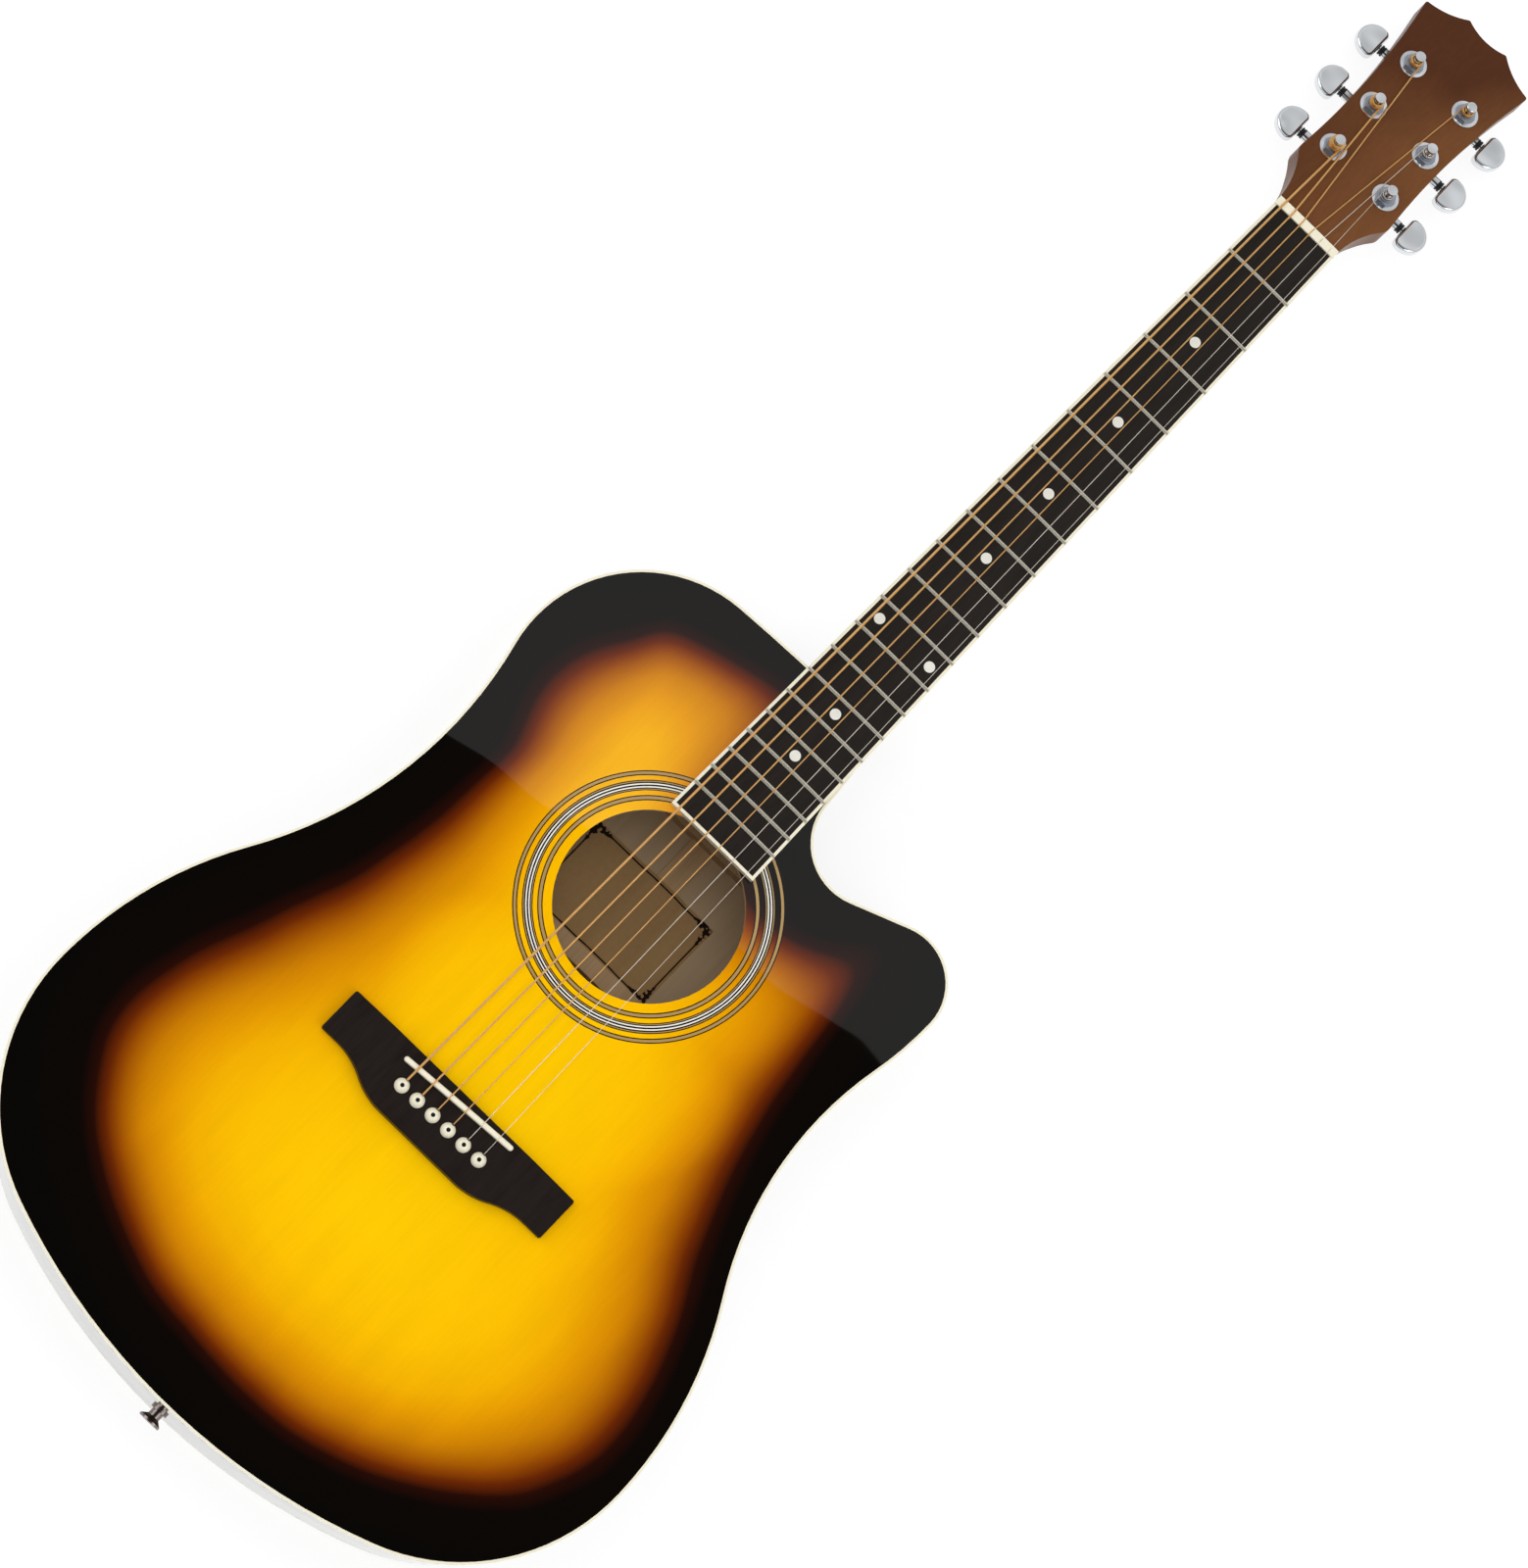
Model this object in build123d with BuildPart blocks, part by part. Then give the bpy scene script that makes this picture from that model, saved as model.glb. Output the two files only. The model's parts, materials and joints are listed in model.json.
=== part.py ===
from build123d import *
import os
from math import asin, atan, cos, degrees, pi, radians, sin, sqrt, tan

# Acoustic guitar with a cutaway, steel strings and sealed tuners. It is drawn in the plane of its
# top: X runs to the treble side, Y up the neck and Z out of the top, in millimetres. Y = 0 is the
# edge of the nut that faces the strings, Z = 0 is the top's outer face. At the end the whole
# guitar is laid on its back, with the origin under the middle of its box.

# ---------------------------------------------------------------- driving dimensions

# Scale
scale_length = 650.0
fret_count = 20
joint_fret = 14                  # the fret at the body joint
joint_past_fret = 2.0

# Body outline: arcs that are tangent to each other, the same on both sides up to the waist
body_length = 502.9
lower_bout_width = 393.2
lower_bout_from_tail = 126.1     # tail to widest point
tail_radius = 361.8
flank_radius = 213.0
upper_bout_width = 294.9
upper_bout_from_joint = 81.0
crown_radius = 1143.6            # nearly flat end under the neck
waist_radius = 230.0
cutaway_waist_radius = 195.4
horn_from_joint = 90.9
horn_side_radius = 189.6
horn_tip_radius = 31.5
cutaway_radius = 31.6
cutaway_x = 61.4                 # centre of the cutaway's round
cutaway_from_joint = 44.4
heel_side = 26.0                 # where the cutaway meets the neck

# Body depth
depth_at_joint = 100.0
depth_at_tail = 120.0
back_arch_radius = 6000.0
top_thickness = 3.0
back_thickness = 2.8
side_thickness = 2.2
binding_width = 1.4
binding_depth = 6.5
lining_width = 6.5
lining_depth = 14.0
neck_block_length = 48.0
neck_block_bass = 44.0
neck_block_treble = 30.0
tail_block_length = 20.0
tail_block_width = 76.0
dovetail_width = 22.0
dovetail_flare = 4.0
dovetail_length = 15.0
dovetail_depth = 78.0

# Braces
brace_gap = 1.0                  # from a brace's end to the lining
x_brace_width = 8.0
x_brace_depth = 16.0
x_brace_spread = 49.0            # degrees from the centreline
x_crossing_from_hole = 81.7
x_leg_up = 158.0
x_leg_down = 232.0
upper_brace_up = 143.0           # from the X's crossing
# ends of the bars below the crossing: across as a share of half the lower bout, and down as a
# share of the way from the crossing to the tail
lower_brace_ends = (
    ((-0.50, 0.43), (0.47, 0.67)),      # tone bars
    ((-0.41, 0.61), (0.32, 0.85)),
    ((-0.53, 0.18), (-0.84, 0.27)),     # finger braces
    ((0.53, 0.18), (0.84, 0.27)),
    ((-0.43, 0.045), (-0.72, 0.08)),
    ((0.43, 0.045), (0.72, 0.08)),
)
brace_width = 7.0
brace_depth = 12.0
brace_tip = 3.0
brace_taper = 38.0
back_brace_width = 10.0
back_brace_depth = 13.0
back_brace_stations = (84.0, 178.0, 286.0, 392.0)   # from the neck joint
back_strip_width = 14.0
back_strip_depth = 3.0
bridge_plate_depth = 2.5
bridge_plate_margin = 6.0

# Sound hole
hole_radius = 50.3
hole_from_joint = 149.8
rosette_depth = 1.2
rosette_bands = ((4.8, 3.0), (10.0, 5.6), (17.8, 2.9))  # gap from the hole, width

# Bridge
bridge_length = 154.0
bridge_thickness = 8.5
bridge_tip_thickness = 4.2
bridge_wing_depth = 26.0
bridge_belly_depth = 36.2
bridge_belly_half = 26.0
bridge_wing_start = 66.0
bridge_flat_half = 42.0          # half of the full-height middle
bridge_corner_round = 1.2
bridge_edge_round = 0.8
bridge_ahead_of_saddle = 6.0
saddle_setback = 1.0
saddle_slant = 3.44              # degrees
saddle_length = 72.0
saddle_width = 3.0
saddle_round = 1.2
saddle_slot_depth = 5.0
saddle_height = 12.3             # top of the saddle over the top
pins_behind_saddle = 13.4
pin_spacing = 10.82
pin_radius = 2.5
pin_end_radius = 2.0
pin_length = 25.0
pin_head_radius = 4.0
pin_head_height = 3.2
pin_clearance = 0.1
pin_groove_width = 1.7           # under the front of the head, where the string comes out
pin_groove_height = 1.5

# Neck
nut_width = 43.0
nut_length = 5.0
nut_spacing = 6.92
nut_rise = 0.15                  # nut over the string slots' floor
slot_clearance = 0.05
board_end_width = 58.0
board_past_last_fret = 16.8
board_thickness = 6.5
board_binding = 1.7
board_radius = 400.0             # across the board, the nut and the saddle
neck_depth_at_nut = 14.5
neck_depth_at_joint = 17.0
heel_levels = (4.0, 17.0, 36.0, 64.0)       # heel's sections, down from the top to its cap
heel_half_widths = (26.2, 25.0, 21.5, 16.5, 12.5)
heel_reaches = (84.0, 48.0, 31.0, 23.5, 20.0)   # towards the nut
heel_clearance = 3.0             # heel's end over the plane of the back
heel_cap_thickness = 2.0
fret_width = 2.2
fret_height = 1.1
tang_width = 0.6
tang_depth = 2.2
tang_inset = 1.0                 # tang's end inside the binding
fret_end_inset = 0.4
action_at_nut = 0.3
dot_radius = 3.0
dot_depth = 1.5
dot_frets = (3, 5, 7, 9, 15, 17)
double_dot_fret = 12
double_dot_offset = 18.1
truss_rod_radius = 3.0
truss_socket_radius = 2.1        # to a corner of the six-sided socket
truss_rod_below_board = 8.0
truss_rod_from_nut = 14.0
truss_rod_past_block = 14.0
truss_rod_clearance = 0.15

# Headstock, in its own plane: across and up from the nut
head_tilt = 12.0
head_thickness = 15.0
veneer_thickness = 1.8
head_shoulder = (33.0, 33.0)
head_waist = (31.3, 80.0)
head_corner = (38.5, 158.0)
head_scoop = (25.0, 161.6)
head_peak = (13.8, 168.6)
head_dip = 165.6
head_round = 1.5
shoulder_round = 8.0
head_carve_length = 32.0         # from the neck's round back to the headstock's flat one
head_carve_half_width = 48.0
head_carve_depth = 24.0

# Tuners, numbered as the strings: 1 is the thinnest, on the treble side
post_offset = 19.5
first_post = 47.5                # up from the nut
post_pitch = 37.05
post_radius = 3.0
post_waist_radius = 2.5
post_height = 11.0               # over the headstock's face
post_hole_radius = 0.8
post_hole_height = 6.6
post_flare = 1.0                 # from the waist back to the post's full width
post_grip_length = 4.5           # of the waist that the string winds on
post_edge_round = 0.8
running_clearance = 0.05
bore_radius = 4.6
bushing_radius = 4.5
bushing_depth = 9.0
bushing_hex = 10.4
bushing_hex_height = 2.2
bushing_dome_radius = 4.2
bushing_dome_height = 0.8
washer_radius = 7.85
washer_thickness = 1.0
worm_offset = 6.5                # worm axis from post axis, towards the tip
worm_below_head = 5.5
worm_length = 9.0
wheel_teeth = 14
tooth_module = 0.62
tooth_height = 0.5               # over the pitch circles
tooth_gap = 0.15                 # between a tooth's top and the other gear's root
tooth_flank = 16.0               # degrees
tooth_space = 0.9                # width of the wheel's spaces at their floor
thread_crest = 0.36
thread_turns = 3
case_gap = 0.8                   # from the worm to the case
wheel_thickness = 6.0
wheel_square = 4.0
housing_depth = 11.5
housing_floor = 2.4
housing_wall = 2.0
housing_round = 2.5
housing_edge_round = 1.5
cavity_half_width = 6.4
pivot_radius = 1.5
pivot_depth = 1.4
end_play = 0.2
shoulder_gap = 0.3
shaft_radius = 2.0
collar_radius = 3.2
collar_end = 35.4                # from the headstock's centreline
shaft_washer_radius = 3.0
shaft_washer_thickness = 1.2
shaft_washer_gap = 0.5
shaft_sleeve_radius = 2.6
knob_start = 38.9
knob_reach = 53.9
knob_half_height = 9.6
knob_thickness = 6.4
knob_corner = 3.6
knob_round = 2.0
knob_stem = 1.6
knob_cover = 4.0                 # metal past the stem's end
tab_radius = 3.2
tab_thickness = 2.0
screw_radius = 1.1
screw_head_radius = 2.4
screw_head_height = 1.3
screw_length = 9.0
screw_margin = 0.5               # from a screw's head to its housing

# Strings, from the thinnest to the thickest
gauges = (0.30, 0.41, 0.61, 0.81, 1.07, 1.35)
seat_gap = 0.02
string_slot_radius = 1.25
string_slot_gap = 0.8            # string's middle from the pin
ball_radius = 1.9
ball_length = 3.4
ball_offset = 1.0                # ball's middle from the string's
saddle_bend = 3.0
saddle_lag = 0.5                 # a string bends behind the saddle's middle
saddle_turn = 26.0               # degrees that a string turns there
nut_bend = 6.0
nut_turn = 15.0
bridge_bend = 1.5
string_exit = 4.8                # over the headstock's face
coil_turns = 3
coil_clearance = 0.3

# Strap button
strap_neck_radius = 3.5
strap_neck_length = 3.5
strap_flange_radius = 5.0
strap_flange = 1.4
strap_rim_radius = 6.5
strap_cone = 2.4
strap_rim = 1.2
strap_screw_radius = 2.0
strap_screw_length = 18.0

# ---------------------------------------------------------------- places worked out from them


def fret_y(number):
    """Where a fret crosses the centreline, by equal semitones."""
    return -scale_length * (1 - 2 ** (-number / 12))


joint_y = fret_y(joint_fret) + joint_past_fret
tail_y = joint_y - body_length
board_end_y = fret_y(fret_count) - board_past_last_fret
hole_y = joint_y - hole_from_joint
saddle_y = -(scale_length + saddle_setback)
bridge_front_y = saddle_y + bridge_ahead_of_saddle
pin_y = saddle_y - pins_behind_saddle
half_lower = lower_bout_width / 2
half_upper = upper_bout_width / 2
lining_inset = side_thickness + lining_width
deep = 2 * depth_at_tail         # more than the body's depth, for cutting through
wide = 2 * lower_bout_width      # the same for its width and for the neck's length

back_slope = degrees(asin((depth_at_tail - depth_at_joint) / body_length))
back_plane = Plane(
    origin=(0, joint_y, -depth_at_joint),
    x_dir=(1, 0, 0),
    z_dir=(0, -sin(radians(back_slope)), cos(radians(back_slope))),
)
head_plane = Plane(
    origin=(0, nut_length, 0),
    x_dir=(1, 0, 0),
    z_dir=(0, sin(radians(head_tilt)), cos(radians(head_tilt))),
)


def board_width_at(y):
    """Width of the fingerboard, nut to end."""
    return nut_width + (board_end_width - nut_width) * y / board_end_y


def crown_drop(x, radius=board_radius):
    """How far a surface arched across the neck lies under its middle at x."""
    return radius - sqrt(radius**2 - x**2)


# ---------------------------------------------------------------- body outline


def blend_radius(end_radius, half_width, depth):
    """Radius of the corner between an end arc centred on the middle and a bout's widest point."""
    return (2 * end_radius * depth - depth**2 - half_width**2) / (2 * (end_radius - half_width))


def toward(start, end, distance):
    """The point at a distance from start on the way to end."""
    return start + (end - start).normalized() * distance


def past(start, end, distance):
    """The point beyond end, seen from start."""
    return end + (end - start).normalized() * distance


def outer_centre(first, first_reach, second, second_reach):
    """The point on the treble side at its own distance from each of two points."""
    span = second - first
    share = (span.length**2 + first_reach**2 - second_reach**2) / (2 * span.length)
    rise = sqrt(first_reach**2 - share**2)
    return first + span.normalized() * share + Vector(span.Y, -span.X).normalized() * rise


def crossing_tangent(first, first_radius, second, second_radius, turn):
    """Both ends of the line that touches two circles on opposite sides."""
    span = second - first
    along = span.normalized()
    lean = (first_radius + second_radius) / span.length
    normal = along * lean + Vector(-along.Y, along.X) * (turn * sqrt(1 - lean**2))
    return first + normal * first_radius, second - normal * second_radius


def bass(point):
    """A treble-side point mirrored to the bass side."""
    return Vector(-point.X, point.Y)


def tangent_chain(points, heading):
    """Arcs through the points in turn, each leaving in the direction the last one ended in."""
    for start, end in zip(points, points[1:]):
        arc = TangentArc(start, end, tangent=heading)
        heading = arc % 1


corner_radius = blend_radius(tail_radius, half_lower, lower_bout_from_tail)
shoulder_radius = blend_radius(crown_radius, half_upper, upper_bout_from_joint)
tail_centre = Vector(0, tail_y + tail_radius)
crown_centre = Vector(0, joint_y - crown_radius)
lower_bout = Vector(half_lower, tail_y + lower_bout_from_tail)
horn = Vector(half_upper, joint_y - horn_from_joint)
corner_centre = lower_bout - Vector(corner_radius, 0)
flank_centre = lower_bout - Vector(flank_radius, 0)
shoulder_centre = Vector(half_upper - shoulder_radius, joint_y - upper_bout_from_joint)
horn_side_centre = horn - Vector(horn_side_radius, 0)
horn_tip_centre = horn - Vector(horn_tip_radius, 0)
cutaway_centre = Vector(cutaway_x, joint_y - cutaway_from_joint)
waist_centre = outer_centre(
    flank_centre, flank_radius + waist_radius, shoulder_centre, shoulder_radius + waist_radius
)
cutaway_waist_centre = outer_centre(
    flank_centre,
    flank_radius + cutaway_waist_radius,
    horn_side_centre,
    horn_side_radius + cutaway_waist_radius,
)
tail_corner = past(tail_centre, corner_centre, corner_radius)
shoulder_top = past(crown_centre, shoulder_centre, shoulder_radius)
heel_corner = Vector(heel_side, joint_y - crown_drop(heel_side, crown_radius))
tip_end, round_start = crossing_tangent(
    horn_tip_centre, horn_tip_radius, cutaway_centre, cutaway_radius, -1
)
_, round_end = crossing_tangent(heel_corner, 0, cutaway_centre, cutaway_radius, 1)


def body_shape(inset=0.0):
    """The body's outline as a flat sketch, drawn in by inset."""
    with BuildSketch() as shape:
        with BuildLine():
            tangent_chain(
                (
                    Vector(0, tail_y),
                    tail_corner,
                    lower_bout,
                    toward(flank_centre, cutaway_waist_centre, flank_radius),
                    toward(horn_side_centre, cutaway_waist_centre, horn_side_radius),
                    horn,
                    tip_end,
                ),
                heading=(1, 0),
            )
            horn_line = Line(tip_end, round_start)
            TangentArc(round_start, round_end, tangent=horn_line % 1)
            Line(round_end, heel_corner)
            crown = ThreePointArc(heel_corner, (0, joint_y), bass(shoulder_top))
            tangent_chain(
                (
                    bass(shoulder_top),
                    bass(toward(shoulder_centre, waist_centre, shoulder_radius)),
                    bass(toward(flank_centre, waist_centre, flank_radius)),
                    bass(lower_bout),
                    bass(tail_corner),
                    Vector(0, tail_y),
                ),
                heading=crown % 1,
            )
        make_face()
        if inset > 0:
            offset(amount=-inset)
    return shape.sketch


def body_ring(outer_inset, inner_inset):
    """The flat band between two insets of the outline."""
    with BuildSketch() as band:
        add(body_shape(outer_inset))
        add(body_shape(inner_inset), mode=Mode.SUBTRACT)
    return band.sketch


def prism(shape, top, bottom):
    """A flat sketch given height."""
    with BuildPart() as block:
        with BuildSketch(Plane.XY.offset(bottom)):
            add(shape)
        extrude(amount=top - bottom)
    return block.part


def above_back(lift):
    """All space over the arched back, raised by lift from its outer face."""
    across = Plane(origin=back_plane.origin, x_dir=(1, 0, 0), z_dir=-back_plane.y_dir)
    radius = back_arch_radius - lift
    spread = degrees(asin(lower_bout_width / radius))
    with BuildPart() as space:
        with BuildSketch(across):
            with BuildLine():
                arc = CenterArc((0, back_arch_radius), radius, 270 - spread, 2 * spread)
                Polyline(arc @ 1, (lower_bout_width, deep), (-lower_bout_width, deep), arc @ 0)
            make_face()
        extrude(amount=2 * body_length, both=True)
    return space.part


def layer(shape, low_lift, high_lift):
    """What a flat sketch's prism holds between two heights over the back's outer face."""
    with BuildPart() as sheet:
        add(prism(shape, 0, -deep))
        add(above_back(low_lift), mode=Mode.INTERSECT)
        add(above_back(high_lift), mode=Mode.SUBTRACT)
    return sheet.part


def dovetail():
    """The tenon that holds the neck in the neck block, wider at its end."""
    with BuildPart() as tenon:
        with BuildSketch(Plane.XY.offset(-dovetail_depth)):
            with BuildLine():
                Polyline(
                    (-dovetail_width / 2, joint_y + 1),
                    (dovetail_width / 2, joint_y + 1),
                    (dovetail_width / 2 + dovetail_flare, joint_y - dovetail_length),
                    (-dovetail_width / 2 - dovetail_flare, joint_y - dovetail_length),
                    close=True,
                )
            make_face()
        extrude(amount=dovetail_depth)
    return tenon.part


pieces = {}


def keep(name, part):
    """Adds a finished piece to the guitar."""
    pieces[name] = part


# ---------------------------------------------------------------- body

def pin_x(number):
    """Where a string's bridge pin stands across the bridge."""
    return (3.5 - number) * pin_spacing


def pin_holes():
    """The six pin holes, each with the notch that its string runs up in."""
    with BuildPart() as holes:
        with BuildSketch(Plane.XY.offset(-depth_at_joint / 2)):
            for number in range(1, 7):
                with Locations((pin_x(number), pin_y)):
                    Circle(pin_radius + pin_clearance)
                with Locations((pin_x(number), pin_y + pin_radius + string_slot_gap)):
                    Circle(string_slot_radius)
        extrude(amount=depth_at_joint)
    return holes.part


with BuildPart() as soundboard:
    with BuildSketch(Plane.XY.offset(-top_thickness)):
        add(body_shape(binding_width))
        with Locations((0, hole_y)):
            Circle(hole_radius, mode=Mode.SUBTRACT)
    extrude(amount=top_thickness)
    for gap, band in rosette_bands:
        with BuildSketch(Plane.XY.offset(-rosette_depth)):
            with Locations((0, hole_y)):
                Circle(hole_radius + gap + band)
                Circle(hole_radius + gap, mode=Mode.SUBTRACT)
        extrude(amount=rosette_depth, mode=Mode.SUBTRACT)
    add(pin_holes(), mode=Mode.SUBTRACT)
    add(dovetail(), mode=Mode.SUBTRACT)
keep("soundboard", soundboard.part)

with BuildPart() as rosette_rings:
    for gap, band in rosette_bands:
        with BuildSketch(Plane.XY.offset(-rosette_depth)):
            with Locations((0, hole_y)):
                Circle(hole_radius + gap + band)
                Circle(hole_radius + gap, mode=Mode.SUBTRACT)
        extrude(amount=rosette_depth)
keep("rosette_rings", rosette_rings.part)

with BuildPart() as top_binding:
    with BuildSketch(Plane.XY.offset(-binding_depth)):
        add(body_ring(0, binding_width))
    extrude(amount=binding_depth)
    add(dovetail(), mode=Mode.SUBTRACT)
keep("top_binding", top_binding.part)

with BuildPart() as back_plate:
    add(layer(body_shape(binding_width), 0, back_thickness))
keep("back_plate", back_plate.part)

with BuildPart() as back_binding:
    add(layer(body_ring(0, binding_width), 0, binding_depth))
keep("back_binding", back_binding.part)

with BuildPart() as ribs:
    add(prism(body_ring(0, side_thickness), -top_thickness, -deep))
    add(above_back(back_thickness), mode=Mode.INTERSECT)
    add(top_binding.part, mode=Mode.SUBTRACT)
    add(back_binding.part, mode=Mode.SUBTRACT)
    add(dovetail(), mode=Mode.SUBTRACT)
    with BuildSketch(Plane.XZ.offset(-tail_y - side_thickness - 1)):
        with Locations((0, -depth_at_tail / 2)):
            Circle(strap_screw_radius)
    extrude(amount=side_thickness + 2, mode=Mode.SUBTRACT)

for name, half in (("side_bass", Keep.BOTTOM), ("side_treble", Keep.TOP)):
    with BuildPart() as side:
        add(ribs.part)
        split(bisect_by=Plane.YZ, keep=half)
    keep(name, side.part)

# Blocks and linings
with BuildPart() as neck_block:
    with BuildSketch(Plane.XY.offset(-deep)):
        with BuildLine():
            Polyline(
                (-neck_block_bass, joint_y),
                (neck_block_treble, joint_y),
                (neck_block_treble, joint_y - neck_block_length),
                (-neck_block_bass, joint_y - neck_block_length),
                close=True,
            )
        make_face()
        add(body_shape(side_thickness), mode=Mode.INTERSECT)
    extrude(amount=deep - top_thickness)
    add(above_back(back_thickness), mode=Mode.INTERSECT)
    add(dovetail(), mode=Mode.SUBTRACT)
    with BuildSketch(Plane.XZ.offset(-joint_y)):
        with Locations((0, -truss_rod_below_board)):
            Circle(truss_rod_radius + truss_rod_clearance)
    extrude(amount=neck_block_length, mode=Mode.SUBTRACT)
keep("neck_block", neck_block.part)

with BuildPart() as tail_block:
    with BuildSketch(Plane.XY.offset(-deep)):
        with Locations((0, tail_y + (side_thickness + tail_block_length) / 2)):
            Rectangle(tail_block_width, side_thickness + tail_block_length)
        add(body_shape(side_thickness), mode=Mode.INTERSECT)
    extrude(amount=deep - top_thickness)
    add(above_back(back_thickness), mode=Mode.INTERSECT)
    with BuildSketch(Plane.XZ.offset(-tail_y - strap_screw_length)):
        with Locations((0, -depth_at_tail / 2)):
            Circle(strap_screw_radius)
    extrude(amount=strap_screw_length, mode=Mode.SUBTRACT)
keep("tail_block", tail_block.part)

with BuildPart() as top_linings:
    add(prism(body_ring(side_thickness, lining_inset), -top_thickness, -top_thickness - lining_depth))
    add(neck_block.part, mode=Mode.SUBTRACT)
    add(tail_block.part, mode=Mode.SUBTRACT)
    add(dovetail(), mode=Mode.SUBTRACT)
keep("top_linings", top_linings.part)

with BuildPart() as back_linings:
    add(layer(body_ring(side_thickness, lining_inset), back_thickness, back_thickness + lining_depth))
    add(neck_block.part, mode=Mode.SUBTRACT)
    add(tail_block.part, mode=Mode.SUBTRACT)
keep("back_linings", back_linings.part)


# Braces under the top

def brace(start, end, width, depth):
    """A bar glued under the top from start to end, thinner towards both ends."""
    start, end = Vector(*start), Vector(*end)
    along = (end - start).normalized()
    length = (end - start).length
    glued = start - Vector(0, 0, top_thickness)
    side = Plane(origin=glued, x_dir=along, z_dir=along.cross(Vector(0, 0, 1)))
    with BuildPart() as bar:
        with BuildSketch(side):
            with BuildLine():
                Polyline(
                    (0, 0),
                    (length, 0),
                    (length, -brace_tip),
                    (length - brace_taper, -depth),
                    (brace_taper, -depth),
                    (0, -brace_tip),
                    close=True,
                )
            make_face()
        extrude(amount=width / 2, both=True)
    return bar.part


crossing_y = hole_y - x_crossing_from_hole
spread_x, spread_y = sin(radians(x_brace_spread)), cos(radians(x_brace_spread))
with BuildSketch() as brace_plan:
    add(body_shape(lining_inset + brace_gap))
    with Locations((0, tail_y)):
        half_room = side_thickness + tail_block_length + brace_gap
        Rectangle(tail_block_width + 2 * brace_gap, 2 * half_room, mode=Mode.SUBTRACT)
brace_room = prism(brace_plan.sketch, -top_thickness, -depth_at_joint / 2)

with BuildPart() as x_braces:
    for side in (-1, 1):
        upper = (side * x_leg_up * spread_x, crossing_y + x_leg_up * spread_y)
        lower = (-side * x_leg_down * spread_x, crossing_y - x_leg_down * spread_y)
        add(brace(upper, lower, x_brace_width, x_brace_depth))
    add(brace_room, mode=Mode.INTERSECT)
keep("x_braces", x_braces.part)


def below_crossing(share_across, share_down):
    """The point under the top at its shares of the lower bout."""
    return share_across * half_lower, crossing_y - share_down * (crossing_y - tail_y)


with BuildPart() as top_braces:
    upper_y, upper_reach = crossing_y + upper_brace_up, half_upper - lining_inset - brace_gap
    add(brace((-upper_reach, upper_y), (upper_reach, upper_y), brace_width, brace_depth))
    for start, end in lower_brace_ends:
        add(brace(below_crossing(*start), below_crossing(*end), brace_width, brace_depth))
    add(brace_room, mode=Mode.INTERSECT)
keep("top_braces", top_braces.part)

bridge_end_y = bridge_front_y - bridge_belly_depth


def between_legs(y):
    """Half the room between the X brace's legs."""
    return (crossing_y - y) * tan(radians(x_brace_spread)) - x_brace_width / 2 / spread_y - brace_gap


with BuildPart() as bridge_plate:
    with BuildSketch(Plane.XY.offset(-top_thickness - bridge_plate_depth)):
        with BuildLine():
            near, far = bridge_front_y, bridge_end_y - bridge_plate_margin
            Polyline(
                (-between_legs(near), near),
                (between_legs(near), near),
                (between_legs(far), far),
                (-between_legs(far), far),
                close=True,
            )
        make_face()
    extrude(amount=bridge_plate_depth)
    add(pin_holes(), mode=Mode.SUBTRACT)
keep("bridge_plate", bridge_plate.part)

# Braces on the back
with BuildPart() as back_braces:
    for station in back_brace_stations:
        with BuildSketch(mode=Mode.PRIVATE) as bar:
            with Locations((0, joint_y - station)):
                Rectangle(wide, back_brace_width)
            add(body_shape(lining_inset + brace_gap), mode=Mode.INTERSECT)
        add(layer(bar.sketch, back_thickness, back_thickness + back_brace_depth))
keep("back_braces", back_braces.part)

with BuildPart() as back_centre_strip:
    with BuildSketch(mode=Mode.PRIVATE) as strip:
        with BuildLine():
            near, far = joint_y - neck_block_length, tail_y + side_thickness + tail_block_length
            Polyline(
                (-back_strip_width / 2, near),
                (back_strip_width / 2, near),
                (back_strip_width / 2, far),
                (-back_strip_width / 2, far),
                close=True,
            )
        make_face()
    add(layer(strip.sketch, back_thickness, back_thickness + back_strip_depth))
    add(back_braces.part, mode=Mode.SUBTRACT)
keep("back_centre_strip", back_centre_strip.part)


# ---------------------------------------------------------------- bridge

def saddle_plane(z):
    """Level plane on the saddle's middle, turned with its slant."""
    tilt = radians(saddle_slant)
    return Plane(origin=(0, saddle_y, z), x_dir=(cos(tilt), sin(tilt), 0), z_dir=(0, 0, 1))


def under_arch(top):
    """Space under a surface arched across the neck that is top high in the middle."""
    half = board_end_width
    with BuildPart() as space:
        with BuildSketch(Plane.XZ.offset(-nut_length - 1)):
            with BuildLine():
                edge = top - crown_drop(half)
                Polyline((half, edge), (half, -deep), (-half, -deep), (-half, edge))
                ThreePointArc((-half, edge), (0, top), (half, edge))
            make_face()
        extrude(amount=wide)
    return space.part


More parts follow.
